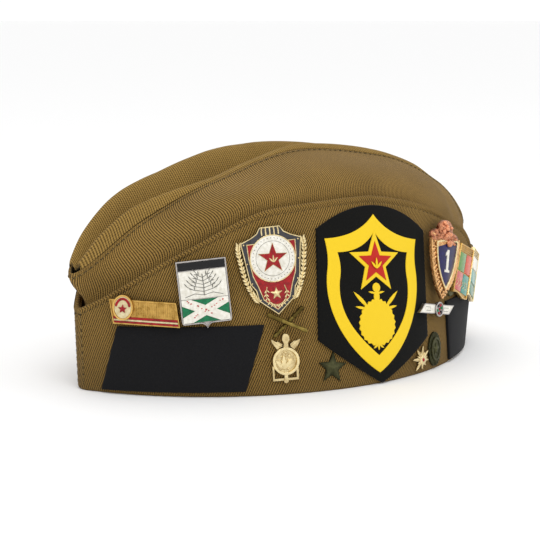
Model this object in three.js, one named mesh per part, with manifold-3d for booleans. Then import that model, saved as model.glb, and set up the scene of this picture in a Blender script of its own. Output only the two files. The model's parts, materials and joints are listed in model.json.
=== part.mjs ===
// Garrison cap of wool twill, opened as worn and standing on its rim, with a cloth patch,
// two cloth tabs and a row of enamelled pins on the wearer's right side.
// Millimetres: +X is the front of the cap, +Y the wearer's left, +Z up.
// The origin is on the floor, in the middle of the cap's box.

import * as THREE from 'three';
import { mergeVertices } from 'three/addons/utils/BufferGeometryUtils.js';
import Module from 'manifold-3d';

const wasm = await Module();
wasm.setup();

// Head opening and height
const halfLength = 114.4; // from the middle to the back or the front end, at the rim
const halfWidth = 72.2; // from the middle to the outer face of either side, at the rim
const bandHeight = 89; // rim to the upper edge of the turned-up band, at its tallest
const crownHeight = 108.4; // rim to the ridge seams, at their tallest
const frontRounding = 28; // plan radius of the front end
const backFold = 1.2; // plan radius left inside the crown at its folded back end

// How the band opens outwards at its ends and leans in at its sides, for each millimetre up
const backFlare = 0.032;
const frontFlare = 0.145;
const sideLean = 0.117;

// The two ridge seams and the folded top between them
const ridgeBack = 118.7; // from the middle to the back tip of the ridges
const ridgeFront = 121.9; // from the middle to the front tip of the ridges
const ridgeHalf = 18.3; // half the distance between the two ridge seams
const foldHalf = 15.4; // half the distance between the two upper folds
const foldRise = 2; // how far the folds stand above the seams
const topDent = 26; // depth of the dent along the middle of the top
const topReach = 0.985; // share of the ridge's length that the top covers

// Cloth and clearances
const bandWall = 2.6; // two layers of twill
const crownWall = 1.5; // one layer of twill and its lining
const clothGap = 0.3; // between pieces that lie on each other
const bandStandOff = 2.2; // how far the band's upper edge stands off the crown
const tabWall = 1.2;
const patchWall = 1.4;
const printWall = 0.5; // the coloured fields of the patch

// Patch and tabs
const patchWidth = 68.8;
const patchHeight = 84;
const frameWidth = 6.5; // yellow border of the patch
const patchStarRadius = 15.5;
const patchStarEdge = 5.2; // yellow edge round the red star
const patchStarWaist = 0.42; // its inner corners, as a share of its radius
const printShift = 1.6; // how far to the back the print stands off the backing's middle
const sprayHeight = 22.8; // the motif's toothed leaf
const sprayWidth = 22.4;
const sprayTeeth = 24;
const tabHeight = 30.2;
const tabLength = 68;

// Pins
const plateWall = 1.3;
const rimWall = 0.6; // raised edge of an enamelled plate
const enamelWall = 0.5;
const postRadius = 1.1;
const barLength = 31.4;
const barHeight = 11.4;
const medallionWidth = 10.4;
const medallionHeight = 12.6;
const townWidth = 23;
const townHeight = 30.4;
const meritWidth = 32;
const meritHeight = 41;
const meritDisc = 11.4; // radius
const barrelsBelow = 3.797; // from the foot of the merit badge to where the barrels cross
const emblemBelow = 16.554; // from there to the middle of the gilt emblem
const lowStarRadius = 2.6;
const barrelRadius = 1.1;
const barrelLength = 20;
const emblemHeight = 21.4;
const emblemRing = 6.6; // outer radius
const emblemFrame = 1; // width of the bars of the frame at its foot
const emblemPost = 1.8; // width of its upright
const smallStarRadius = 7.2;
const sprayPinRadius = 8;
const sprayPinHeart = 5; // across its middle
const sprayPinLeaf = 1.5; // how far a leaf's handles stand out to either side
const cockadeWidth = 12;
const cockadeHeight = 18;
const lozengeLength = 30;
const lozengeHeight = 4.8;
const classWidth = 32;
const classHeight = 30.8;
const figureHeight = 11.6; // the number on the class badge
const figureStem = 1.7;
const flagWidth = 21.5;
const flagHeight = 27.5;
const knotRadius = 4;

// Shape of the crown's sides between the band and the ridge seams
const startHandle = 0.35; // how far the side goes on straight up, as a share of that distance
const endHandle = 0.45; // how far it stays level before the seam, as a share of it
const seamSlope = 0.25; // its slope where it meets the seam

// Facets
const bandRows = 4;
const insideRows = 2; // of the crown's side, where the band hides it
const crownRows = 6;
const dentRows = 4;
const tipColumns = { back: 4, front: 7 };
const sideColumns = 22;
const bendStep = 8; // widest flat strip of a piece that bends round the cap

const backTip = backFold + crownWall + bandStandOff + clothGap + bandWall;

// Upper edge of the band: shares of bandHeight, from the back (-1) to the front (1)
const bandProfile = [
  { at: -1, top: 0.439 },
  { at: -0.75, top: 0.727 },
  { at: -0.4, top: 0.963 },
  { at: 0, top: 1 },
  { at: 0.2, top: 0.963 },
  { at: 0.4, top: 0.894 },
  { at: 0.56, top: 0.808 },
  { at: 0.68, top: 0.743 },
  { at: 0.78, top: 0.658 },
  { at: 0.88, top: 0.571 },
  { at: 1, top: 0.571 },
];

// Ridge seams: shares of crownHeight
const ridgeProfile = [
  { at: -1, seam: 0.512 },
  { at: -0.75, seam: 0.731 },
  { at: -0.4, seam: 0.895 },
  { at: 0, seam: 1 },
  { at: 0.4, seam: 0.951 },
  { at: 0.75, seam: 0.801 },
  { at: 1, seam: 0.572 },
];

// How far the folds swell above the seams on each side: shares of crownHeight
const swellProfile = [
  { at: -1, right: 0, left: 0 },
  { at: -0.9, right: 0.056, left: 0.046 },
  { at: -0.82, right: 0.059, left: 0.053 },
  { at: -0.72, right: 0.044, left: 0.058 },
  { at: -0.6, right: 0.02, left: 0.047 },
  { at: -0.5, right: 0, left: 0.036 },
  { at: -0.4, right: -0.011, left: 0.035 },
  { at: -0.3, right: -0.009, left: 0.03 },
  { at: -0.2, right: -0.01, left: 0.016 },
  { at: -0.08, right: -0.004, left: -0.003 },
  { at: 0, right: 0.002, left: -0.006 },
  { at: 0.3, right: 0.006, left: -0.002 },
  { at: 0.5, right: 0, left: 0 },
  { at: 0.62, right: 0.002, left: 0 },
  { at: 0.75, right: -0.012, left: 0 },
  { at: 0.9, right: 0, left: 0 },
  { at: 1, right: 0, left: 0 },
];

// Soft hollows of the crown's sides. across and up are the middle of each one, wide and tall its
// reach, all shares of the side's outline or of its height above the band; depth is a share of
// ridgeHalf, and a negative one is a swelling.
const crownDents = {
  right: [
    { across: 0.79, up: 0.45, wide: 0.022, tall: 0.5, depth: 0.12 },
    { across: 0.9, up: 0.4, wide: 0.02, tall: 0.4, depth: 0.09 },
    { across: 0.25, up: 0.5, wide: 0.1, tall: 0.5, depth: -0.08 },
  ],
  left: [
    { across: 0.7, up: 0.45, wide: 0.03, tall: 0.5, depth: 0.1 },
    { across: 0.3, up: 0.5, wide: 0.1, tall: 0.5, depth: -0.08 },
  ],
};

// Value of one column of a table at a place, on a smooth curve without overshoot
function follow(table, column, at) {
  const last = table.length - 2;
  let row = 0;
  while (row < last && table[row + 1].at < at) row += 1;
  const slope = (i) => (table[i + 1][column] - table[i][column]) / (table[i + 1].at - table[i].at);
  const bend = (i) => {
    if (i === 0) return slope(0);
    if (i === table.length - 1) return slope(i - 1);
    const [before, after] = [slope(i - 1), slope(i)];
    return before * after > 0 ? (2 * before * after) / (before + after) : 0;
  };
  const span = table[row + 1].at - table[row].at;
  const t = THREE.MathUtils.clamp((at - table[row].at) / span, 0, 1);
  const [low, high] = [table[row][column], table[row + 1][column]];
  const rise = t * t * (3 - 2 * t);
  const start = t * (1 - t) * (1 - t) * span * bend(row);
  const end = t * t * (t - 1) * span * bend(row + 1);
  return low + (high - low) * rise + start + end;
}

// Half outline of the band at a height: a back tip arc, one long side arc and a front tip arc
function planArcs(height) {
  const back = halfLength + backFlare * height;
  const front = halfLength + frontFlare * height;
  const width = halfWidth - sideLean * height;
  const span = back - backTip + front - frontRounding;
  const [backDrop, frontDrop] = [2 * (width - backTip), 2 * (width - frontRounding)];
  const linear = backDrop * span;
  const constant = frontDrop * (width ** 2 - backTip ** 2)
    - backDrop * (span ** 2 + width ** 2 - frontRounding ** 2);
  const reach = -constant / (linear + Math.sqrt(linear ** 2 - (frontDrop - backDrop) * constant));
  const radius = (reach ** 2 + width ** 2 - backTip ** 2) / backDrop;
  const backTurn = Math.PI / 2 - Math.asin(reach / (radius - backTip));
  const frontTurn = Math.PI / 2 - Math.asin((span - reach) / (radius - frontRounding));
  const sideTurn = Math.PI - backTurn - frontTurn;
  return [
    { x: backTip - back, y: 0, radius: backTip, turn: backTurn },
    { x: reach + backTip - back, y: radius - width, radius, turn: sideTurn },
    { x: front - frontRounding, y: 0, radius: frontRounding, turn: frontTurn },
  ];
}

function planLength(height) {
  return planArcs(height).reduce((sum, arc) => sum + arc.radius * arc.turn, 0);
}

// Point of the band's right outer face: share runs from the back end to the front end, and out
// moves it off the face
function bandPoint(share, height, out = 0) {
  const arcs = planArcs(height);
  let left = share * arcs.reduce((sum, arc) => sum + arc.radius * arc.turn, 0);
  let angle = 0;
  let arc = arcs[0];
  for (const next of arcs) {
    arc = next;
    const length = arc.radius * arc.turn;
    if (left <= length || arc === arcs[2]) break;
    left -= length;
    angle += arc.turn;
  }
  angle += left / arc.radius;
  const normal = new THREE.Vector3(-Math.cos(angle), -Math.sin(angle), 0);
  const centre = new THREE.Vector3(arc.x, arc.y, height);
  return { point: centre.addScaledVector(normal, arc.radius + out), normal };
}

const halfOutline = planLength(0);

function bandPlace(share) {
  return bandPoint(share, 0).point.x / halfLength;
}

function bandTop(share) {
  return bandHeight * follow(bandProfile, 'top', bandPlace(share));
}

// Columns along a half: close together round the tips
function columns() {
  const arcs = planArcs(0);
  const shares = [0];
  const counts = [tipColumns.back, sideColumns, tipColumns.front];
  arcs.forEach((arc, i) => {
    const start = shares.at(-1);
    const length = (arc.radius * arc.turn) / halfOutline;
    for (let k = 1; k <= counts[i]; k += 1) shares.push(start + (length * k) / counts[i]);
  });
  shares[shares.length - 1] = 1;
  return shares;
}

const shareList = columns();

// Closed shell between two grids of points, [column][row]
function shell(outer, inner) {
  const [across, up] = [outer.length, outer[0].length];
  const points = [...outer.flat(), ...inner.flat()];
  const index = [];
  const at = (side, i, j) => side * across * up + i * up + j;
  const quad = (a, b, c, d) => index.push(a, b, c, a, c, d);
  for (let i = 0; i + 1 < across; i += 1) {
    for (let j = 0; j + 1 < up; j += 1) {
      quad(at(0, i, j), at(0, i + 1, j), at(0, i + 1, j + 1), at(0, i, j + 1));
      quad(at(1, i, j), at(1, i, j + 1), at(1, i + 1, j + 1), at(1, i + 1, j));
    }
    quad(at(0, i, 0), at(1, i, 0), at(1, i + 1, 0), at(0, i + 1, 0));
    quad(at(0, i, up - 1), at(0, i + 1, up - 1), at(1, i + 1, up - 1), at(1, i, up - 1));
  }
  for (let j = 0; j + 1 < up; j += 1) {
    quad(at(0, 0, j), at(0, 0, j + 1), at(1, 0, j + 1), at(1, 0, j));
    quad(at(0, across - 1, j), at(1, across - 1, j), at(1, across - 1, j + 1), at(0, across - 1, j + 1));
  }
  const geometry = new THREE.BufferGeometry().setFromPoints(points);
  geometry.setIndex(index);
  return geometry;
}

// The same shell on the wearer's left: mirrored, with its faces turned back outwards
function mirrored(geometry) {
  const copy = geometry.clone();
  copy.scale(1, -1, 1);
  const index = copy.getIndex();
  for (let i = 0; i < index.count; i += 3) {
    const first = index.getX(i);
    index.setX(i, index.getX(i + 2));
    index.setX(i + 2, first);
  }
  return copy;
}

// Right half of a side, clear of the left half by the gap between two pieces
function clearOfMiddle(point) {
  return point.setY(Math.min(point.y, 0) - clothGap / 2);
}

function band() {
  const grid = (inset) => shareList.map((share) => {
    const rows = [];
    for (let j = 0; j <= bandRows; j += 1) {
      const { point } = bandPoint(share, (bandTop(share) * j) / bandRows, -inset);
      rows.push(clearOfMiddle(point));
    }
    return rows;
  });
  return shell(grid(0), grid(bandWall));
}

function ridgeHeight(at) {
  return crownHeight * follow(ridgeProfile, 'seam', at);
}

// How much of its full width the ridge has at a place: it closes to a point at both tips
function ridgeSpread(at) {
  return Math.sqrt(Math.max(0, 1 - at ** 4));
}

function ridgeX(at) {
  return at * (at < 0 ? ridgeBack : ridgeFront);
}

function dentDepth(side, share, up) {
  const near = (value, middle, reach) => Math.exp(-(((value - middle) / reach) ** 2));
  const sum = crownDents[side].reduce(
    (total, dent) => total + dent.depth * near(share, dent.across, dent.wide) * near(up, dent.up, dent.tall),
    0,
  );
  return ridgeHalf * sum * Math.sin(Math.PI * up);
}

// Outer face of the crown's side: up to 1 it lies inside the band, from 1 to 2 it curves over
// to the ridge seam
function crownPoint(side, share, up) {
  const top = bandTop(share);
  const inside = bandWall + clothGap;
  if (up <= 1) return bandPoint(share, top * up, -inside - bandStandOff * up * up).point;
  const { point: start, normal } = bandPoint(share, top, -inside - bandStandOff);
  const below = bandPoint(share, top - 1, -inside - bandStandOff).point;
  const at = bandPlace(share);
  const end = new THREE.Vector3(ridgeX(at), -ridgeHalf * ridgeSpread(at), ridgeHeight(at));
  const reach = start.distanceTo(end);
  const rising = start.clone().sub(below).normalize().multiplyScalar(reach * startHandle);
  const level = 1 - Math.abs(at) ** 3;
  const arriving = normal.clone().multiplyScalar(level);
  arriving.setZ(level - 1 - seamSlope * level).normalize().multiplyScalar(reach * endHandle);
  const t = up - 1;
  const [first, second] = [start.clone().add(rising), end.clone().add(arriving)];
  const curve = new THREE.CubicBezierCurve3(start, first, second, end);
  return curve.getPoint(t).addScaledVector(normal, -dentDepth(side, share, t));
}

// Outward direction of a grid of points at one of them
function gridNormal(grid, i, j) {
  const [first, last] = [Math.max(i - 1, 0), Math.min(i + 1, grid.length - 1)];
  const [low, high] = [Math.max(j - 1, 0), Math.min(j + 1, grid[0].length - 1)];
  const across = grid[last][j].clone().sub(grid[first][j]);
  const up = grid[i][high].clone().sub(grid[i][low]);
  const normal = across.cross(up);
  if (i === 0 || i === grid.length - 1) normal.y = 0;
  return normal.normalize();
}

function crownGrid(side) {
  return shareList.map((share) => {
    const rows = [];
    for (let j = 0; j < insideRows; j += 1) rows.push(crownPoint(side, share, j / insideRows));
    for (let j = 0; j <= crownRows; j += 1) rows.push(crownPoint(side, share, 1 + j / crownRows));
    return rows.map(clearOfMiddle);
  });
}

function crownNormal(grid, i, j) {
  const normal = gridNormal(grid, i, j);
  return j === 0 ? normal.setZ(0).normalize() : normal;
}

function crownSide(side) {
  const outer = crownGrid(side);
  const inner = outer.map((rows, i) => rows.map((point, j) => {
    const moved = point.clone().addScaledVector(crownNormal(outer, i, j), -crownWall);
    return moved.setY(Math.min(moved.y, -clothGap / 2));
  }));
  return shell(outer, inner);
}

// One side of the top's section at a column: from just past the seam, over the fold and down to
// the bottom of the dent
function topRows(side, grid, i) {
  const at = bandPlace(shareList[i]);
  const rim = grid[i].at(-1);
  const along = rim.clone().sub(grid[i].at(-2)).normalize();
  const start = rim.clone().addScaledVector(along, clothGap);
  const spread = ridgeSpread(at);
  const swell = crownHeight * follow(swellProfile, side, at);
  const fold = new THREE.Vector3(ridgeX(at), -foldHalf * spread, ridgeHeight(at) + foldRise + swell);
  const corner = new THREE.Vector3(start.x, (start.y + fold.y) / 2, fold.z);
  const rise = new THREE.QuadraticBezierCurve3(start, corner, fold);
  const rows = [start, rise.getPoint(0.5), fold];
  const middleHeight = ridgeHeight(at) + foldRise - topDent * (1 - Math.abs(at) ** 3);
  const drop = (part) => (1 - Math.cos(0.8 * Math.PI * part)) / (1 - Math.cos(0.8 * Math.PI));
  for (let k = 1; k <= dentRows; k += 1) {
    const part = k / dentRows;
    const height = fold.z + (middleHeight - fold.z) * drop(part);
    rows.push(new THREE.Vector3(fold.x, fold.y * (1 - part), height));
  }
  return rows;
}

function crownTop() {
  const grids = { right: crownGrid('right'), left: crownGrid('left') };
  const kept = shareList.map((share, i) => i).filter((i) => Math.abs(bandPlace(shareList[i])) < topReach);
  const mirror = (point) => new THREE.Vector3(point.x, -point.y, point.z);
  const outer = kept.map((i) => {
    const left = topRows('left', grids.left, i).map(mirror);
    return [...topRows('right', grids.right, i), ...left.reverse().slice(1)];
  });
  const last = outer[0].length - 1;
  const inner = outer.map((rows, i) => rows.map((point, j) => {
    let normal = gridNormal(outer, i, j);
    if (j === 0) normal = crownNormal(grids.right, kept[i], grids.right[0].length - 1);
    if (j === last) normal = mirror(crownNormal(grids.left, kept[i], grids.left[0].length - 1));
    return point.clone().addScaledVector(normal, -crownWall);
  }));
  return shell(outer, inner);
}

// Flat pieces: outlines in the piece's own plane, x along the cap towards its front and y up

function outline(points) {
  return new THREE.Shape(points.map(([x, y]) => new THREE.Vector2(x, y)));
}

function oval(width, height, x = 0, y = 0) {
  return new THREE.Shape().absellipse(x, y, width / 2, height / 2, 0, 2 * Math.PI);
}

// Five-pointed star, whose inner corners stand at a share of its radius
function star(radius, waist = 0.382, x = 0, y = 0) {
  const corners = [];
  for (let k = 0; k < 10; k += 1) {
    const angle = Math.PI / 2 + (k * Math.PI) / 5;
    const reach = k % 2 ? radius * waist : radius;
    corners.push([x + reach * Math.cos(angle), y + reach * Math.sin(angle)]);
  }
  return outline(corners);
}

// Shield between its top corners and its tip, with sides that bow out
function shield(width, height, x = 0) {
  const [half, top] = [width / 2, height / 2];
  const shape = new THREE.Shape().moveTo(x - half, top);
  shape.bezierCurveTo(x - half * 1.09, 0, x - half * 0.75, -top * 0.45, x, -top);
  shape.bezierCurveTo(x + half * 0.75, -top * 0.45, x + half * 1.09, 0, x + half, top);
  return shape;
}

function slab(shape, thickness, base = 0, smooth = 6) {
  const settings = { depth: thickness, bevelEnabled: false, curveSegments: smooth };
  return new THREE.ExtrudeGeometry(shape, settings).translate(0, 0, base);
}

// Vertices shared, and faces that have no area left dropped
function welded(geometry) {
  const bare = new THREE.BufferGeometry();
  bare.setAttribute('position', geometry.getAttribute('position'));
  bare.setIndex(geometry.getIndex());
  const merged = mergeVertices(bare, 1e-4);
  const kept = [];
  const old = merged.getIndex().array;
  for (let i = 0; i < old.length; i += 3) {
    const [a, b, c] = [old[i], old[i + 1], old[i + 2]];
    if (a !== b && b !== c && c !== a) kept.push(a, b, c);
  }
  merged.setIndex(kept);
  return merged;
}

function solidOf(geometry) {
  const bare = welded(geometry);
  return new wasm.Manifold(new wasm.Mesh({
    numProp: 3,
    vertProperties: Float32Array.from(bare.getAttribute('position').array),
    triVerts: Uint32Array.from(bare.getIndex().array),
  }));
}

function geometryOf(solid) {
  const { vertProperties, triVerts } = solid.getMesh();
  const geometry = new THREE.BufferGeometry();
  geometry.setAttribute('position', new THREE.BufferAttribute(Float32Array.from(vertProperties), 3));
  geometry.setIndex(Array.from(triVerts));
  return geometry;
}

function fused(...pieces) {
  return geometryOf(pieces.map(solidOf).reduce((sum, piece) => sum.add(piece)));
}

function cutFrom(piece, ...tools) {
  return geometryOf(tools.map(solidOf).reduce((sum, tool) => sum.subtract(tool), solidOf(piece)));
}

// Splits a flat piece's faces along upright lines, so that it can bend
function scored(geometry, step) {
  const source = welded(geometry).toNonIndexed();
  source.computeBoundingBox();
  const { min, max } = source.boundingBox;
  const corner = (i) => new THREE.Vector3().fromBufferAttribute(source.getAttribute('position'), i);
  let faces = [];
  for (let i = 0; i < source.getAttribute('position').count; i += 3) {
    faces.push([corner(i), corner(i + 1), corner(i + 2)]);
  }
  const strips = Math.ceil((max.x - min.x) / step);
  for (let k = 1; k < strips; k += 1) {
    const place = min.x + ((max.x - min.x) * k) / strips;
    faces = faces.flatMap((face) => splitFace(face, place));
  }
  return welded(new THREE.BufferGeometry().setFromPoints(faces.flat()));
}

function splitFace(face, place) {
  const tiny = 1e-5;
  const sides = face.map((point) => (Math.abs(point.x - place) < tiny ? 0 : Math.sign(point.x - place)));
  if (!sides.includes(1) || !sides.includes(-1)) return [face];
  const halves = { 1: [], '-1': [] };
  face.forEach((point, i) => {
    const next = face[(i + 1) % 3];
    if (sides[i] >= 0) halves[1].push(point);
    if (sides[i] <= 0) halves[-1].push(point);
    if (sides[i] * sides[(i + 1) % 3] < 0) {
      const [low, high] = point.x < next.x ? [point, next] : [next, point];
      const cross = low.clone().lerp(high, (place - low.x) / (high.x - low.x)).setX(place);
      halves[1].push(cross);
      halves[-1].push(cross);
    }
  });
  return Object.values(halves).flatMap((ring) => (
    ring.slice(2).map((point, k) => [ring[0], ring[k + 1], point])
  ));
}

// Bends a flat piece round the band. place.along is a share of the outline and place.up of
// bandHeight; slope tips the piece's level lines and lean its upright ones.
function bent(geometry, place, lift) {
  const piece = scored(geometry, bendStep);
  const positions = piece.getAttribute('position');
  for (let i = 0; i < positions.count; i += 1) {
    const [x, y, z] = [positions.getX(i), positions.getY(i), positions.getZ(i)];
    const share = place.along + (x + place.lean * y) / halfOutline;
    const height = place.up * bandHeight + y + place.slope * x;
    const { point } = bandPoint(share, height, lift + z);
    positions.setXYZ(i, point.x, point.y, point.z);
  }
  return piece;
}

function materialOf(color, roughness = 0.9, metalness = 0) {
  return new THREE.MeshStandardMaterial({ color, roughness, metalness });
}

const twill = materialOf('#74602f');
const blackCloth = materialOf('#202022');
const yellowPrint = materialOf('#f1c930', 0.7);
const redPrint = materialOf('#c8281a', 0.7);
const gilt = materialOf('#c9a45a', 0.35, 0.9);
const steel = materialOf('#8c8c90', 0.35, 0.9);
const darkOlive = materialOf('#4b4a33', 0.6, 0.3);
const rodOlive = materialOf('#6f6232', 0.5, 0.6);
const whiteEnamel = materialOf('#eceade', 0.25);
const redEnamel = materialOf('#a81a20', 0.25);
const greenEnamel = materialOf('#1f7a55', 0.25);
const blackEnamel = materialOf('#1b1b1e', 0.25);
const blueEnamel = materialOf('#231c5a', 0.25);

function addPiece(group, name, geometry, material) {
  const mesh = new THREE.Mesh(geometry, material);
  mesh.name = name;
  group.add(mesh);
  return mesh;
}

function makeCloth() {
  const cloth = new THREE.Group();
  const rightBand = band();
  addPiece(cloth, 'flap_right', rightBand, twill);
  addPiece(cloth, 'flap_left', mirrored(rightBand), twill);
  addPiece(cloth, 'crown_wall_right', crownSide('right'), twill);
  addPiece(cloth, 'crown_wall_left', mirrored(crownSide('left')), twill);
  addPiece(cloth, 'crown_top', crownTop(), twill);
  return cloth;
}

// Tabs: slanting cloth strips low on the band
const tabPlaces = [
  { name: 'tab_back', along: 0.178, up: 0.195, slope: 0.012, lean: 0, skew: 0.29 },
  { name: 'tab_front', along: 0.836, up: 0.184, slope: -0.012, lean: 0, skew: -0.2 },
];

function makeTabs() {
  const tabs = new THREE.Group();
  for (const place of tabPlaces) {
    const [half, tall, drift] = [tabLength / 2, tabHeight / 2, place.skew * tabHeight / 2];
    const shape = outline([
      [-half - drift, -tall], [half - drift, -tall], [half + drift, tall], [drift - half, tall],
    ]);
    addPiece(tabs, place.name, bent(slab(shape, tabWall), place, clothGap), blackCloth);
  }
  return tabs;
}

// Cloth patch: a black backing with a yellow border, a star and a sprig round a toothed leaf
const patchPlace = { along: 0.5184, up: 0.4775, slope: -0.09, lean: -0.045 };
const printPlace = { ...patchPlace, along: patchPlace.along - printShift / halfOutline };

function patchOutline() {
  const [wide, tall] = [patchWidth, patchHeight];
  const shape = new THREE.Shape().moveTo(-0.475 * wide, 0.357 * tall);
  shape.lineTo(-0.5 * wide, -0.257 * tall);
  shape.quadraticCurveTo(-0.27 * wide, -0.39 * tall, 0, -0.5 * tall);
  shape.quadraticCurveTo(0.27 * wide, -0.39 * tall, 0.5 * wide, -0.257 * tall);
  shape.lineTo(0.475 * wide, 0.357 * tall);
  shape.quadraticCurveTo(0.24 * wide, 0.5 * tall, 0, 0.5 * tall);
  shape.quadraticCurveTo(-0.24 * wide, 0.5 * tall, -0.475 * wide, 0.357 * tall);
  return shape;
}

// One edge of the border: horned at its top corners and pointed at its tip
function borderOutline(inset) {
  const [wide, tall] = [patchWidth, patchHeight];
  const [hornX, hornY] = [0.4 * wide - inset, 0.31 * tall - 0.95 * inset];
  const [sideX, sideY] = [0.393 * wide - inset, 0.12 * tall - 0.5 * inset];
  const [apex, tip] = [0.452 * tall - 1.25 * inset, 1.26 * inset - 0.438 * tall];
  const [waistX, waistY] = [sideX - 0.025 * wide, 0.5 * (hornY + sideY)];
  const [bowX, bowY, lowX, lowY] = [sideX * 1.1, -0.1 * tall, sideX * 0.66, tip + 0.12 * tall];
  const dip = 0.5 * (hornY + apex) - 0.055 * tall;
  const shape = new THREE.Shape().moveTo(-hornX, hornY);
  shape.quadraticCurveTo(-waistX, waistY, -sideX, sideY);
  shape.bezierCurveTo(-bowX, bowY, -lowX, lowY, 0, tip);
  shape.bezierCurveTo(lowX, lowY, bowX, bowY, sideX, sideY);
  shape.quadraticCurveTo(waistX, waistY, hornX, hornY);
  shape.quadraticCurveTo(0.33 * hornX, dip, 0, apex);
  shape.quadraticCurveTo(-0.33 * hornX, dip, -hornX, hornY);
  return shape;
}

function leaf(length, width, angle, x = 0, y = 0) {
  const at = (along, side) => [
    x + along * Math.sin(angle) + side * Math.cos(angle),
    y + along * Math.cos(angle) - side * Math.sin(angle),
  ];
  const shape = new THREE.Shape().moveTo(...at(0, 0));
  shape.quadraticCurveTo(...at(length * 0.45, -width), ...at(length, 0));
  shape.quadraticCurveTo(...at(length * 0.45, width), ...at(0, 0));
  return shape;
}

// Egg-shaped leaf with teeth all round, broader below its middle
function toothedLeaf(y) {
  const points = [];
  for (let k = 0; k < 2 * sprayTeeth; k += 1) {
    const turn = (Math.PI * k) / sprayTeeth;
    const reach = k % 2 ? 0.93 : 1;
    const x = -0.5 * sprayWidth * reach * Math.sin(turn) * (1 - 0.1 * Math.cos(turn));
    points.push([x, y + 0.5 * sprayHeight * reach * Math.cos(turn)]);
  }
  return outline(points);
}

// Small leaves round it: shares of its height, for one side of the patch
const sprayLeaves = [
  { long: 0.22, wide: 0.045, turn: 1.4, x: 0, y: 0.6 },
  { long: 0.5, wide: 0.085, turn: 0.82, x: 0.22, y: 0.3 },
  { long: 0.3, wide: 0.06, turn: 1.4, x: 0.26, y: 0.28 },
  { long: 0.17, wide: 0.05, turn: 2.2, x: 0, y: -0.44 },
];

function patchSpray() {
  const [middle, tall] = [-0.155 * patchHeight, sprayHeight];
  const solids = [
    slab(toothedLeaf(middle), printWall),
    slab(oval(0.15 * tall, 0.28 * tall, 0, middle + 0.53 * tall), printWall),
    slab(oval(0.2 * tall, 0.2 * tall, 0, middle + 0.72 * tall), printWall),
    slab(leaf(0.14 * tall, 0.05 * tall, Math.PI, 0, middle - 0.44 * tall), printWall),
  ];
  for (const small of sprayLeaves) {
    for (const way of [-1, 1]) {
      const [x, y] = [way * small.x * tall, middle + small.y * tall];
      solids.push(slab(leaf(small.long * tall, small.wide * tall, way * small.turn, x, y), printWall));
    }
  }
  return fused(...solids);
}

function makePatch() {
  const patch = new THREE.Group();
  const starY = 0.18 * patchHeight;
  const printLift = patchWall + 2 * clothGap;
  const starLift = printLift + printWall + clothGap;
  const backing = bent(slab(patchOutline(), patchWall), patchPlace, clothGap);
  addPiece(patch, 'patch_backing', backing, blackCloth);
  const border = borderOutline(0);
  border.holes.push(borderOutline(frameWidth));
  const outerStar = star(patchStarRadius, patchStarWaist, 0, starY);
  const edge = fused(slab(border, printWall), slab(outerStar, printWall));
  addPiece(patch, 'patch_border', bent(edge, printPlace, printLift), yellowPrint);
  const innerStar = star(patchStarRadius - patchStarEdge, patchStarWaist, 0, starY);
  addPiece(patch, 'patch_star', bent(slab(innerStar, printWall), printPlace, starLift), redPrint);
  addPiece(patch, 'patch_spray', bent(patchSpray(), printPlace, printLift), yellowPrint);
  return patch;
}

// Pins. along is a share of the outline, up of bandHeight, turn is in degrees, and over is what
// the pin's back clears besides the band.
const overTab = tabWall + clothGap;
const overPlate = overTab + plateWall + rimWall + clothGap;
const meritUp = 0.648;
const barrelsUp = meritUp - (meritHeight / 2 + barrelsBelow) / bandHeight;
const emblemUp = barrelsUp - emblemBelow / bandHeight;
const pinPlaces = {
  bar: { along: 0.1225, up: 0.438, turn: -2.2, over: overTab },
  town: { along: 0.2154, up: 0.545, turn: 6, over: overTab },
  merit: { along: 0.3266, up: meritUp, turn: 4.7, over: 0 },
  barrels: { along: 0.35, up: barrelsUp, turn: 0, over: 0 },
  emblem: { along: 0.3475, up: emblemUp, turn: 1, over: 0 },
  smallStar: { along: 0.4275, up: 0.12, turn: -6, over: 0 },
  spray: { along: 0.628, up: 0.075, turn: -8, over: 0 },
  cockade: { along: 0.668, up: 0.113, turn: -3, over: 0 },
  lozenge: { along: 0.6602, up: 0.338, turn: -10.8, over: overTab },
  class: { along: 0.6664, up: 0.577, turn: -13.4, over: overPlate },
  flag: { along: 0.767, up: 0.498, turn: -24, over: overTab },
  end: { along: 0.848, up: 0.44, turn: -24, over: overTab },
  knot: { along: 0.731, up: 0.408, turn: 0, over: 0 },
};

// Group that stands on the band, its x along the cap, y up and z outwards
function pinAt(name) {
  const place = pinPlaces[name];
  const pin = new THREE.Group();
  const height = place.up * bandHeight;
  const step = 1 / halfOutline;
  const { point } = bandPoint(place.along, height);
  const ahead = bandPoint(place.along + step, height).point;
  const along = ahead.sub(bandPoint(place.along - step, height).point).normalize();
  const above = bandPoint(place.along, height + 1).point.sub(point);
  const out = along.clone().cross(above).normalize();
  const up = out.clone().cross(along);
  pin.quaternion.setFromRotationMatrix(new THREE.Matrix4().makeBasis(along, up, out));
  pin.rotateZ(THREE.MathUtils.degToRad(place.turn));
  pin.position.copy(point).addScaledVector(out, clothGap + place.over);
  return pin;
}

// Plate with a post behind it that reaches down to the band
function plate(name, shape, thickness = plateWall) {
  const { over } = pinPlaces[name];
  if (!over) return slab(shape, thickness);
  return fused(slab(shape, thickness), post(over, thickness));
}

function post(over, thickness) {
  const length = over + thickness / 2;
  const geometry = new THREE.CylinderGeometry(postRadius, postRadius, length, 10);
  return geometry.rotateX(Math.PI / 2).translate(0, 0, length / 2 - over);
}

// Raised edge between an outline and the same outline made smaller
function rim(outer, inner, thickness = rimWall) {
  outer.holes.push(inner);
  return slab(outer, thickness + plateWall / 2, plateWall / 2);
}

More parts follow.
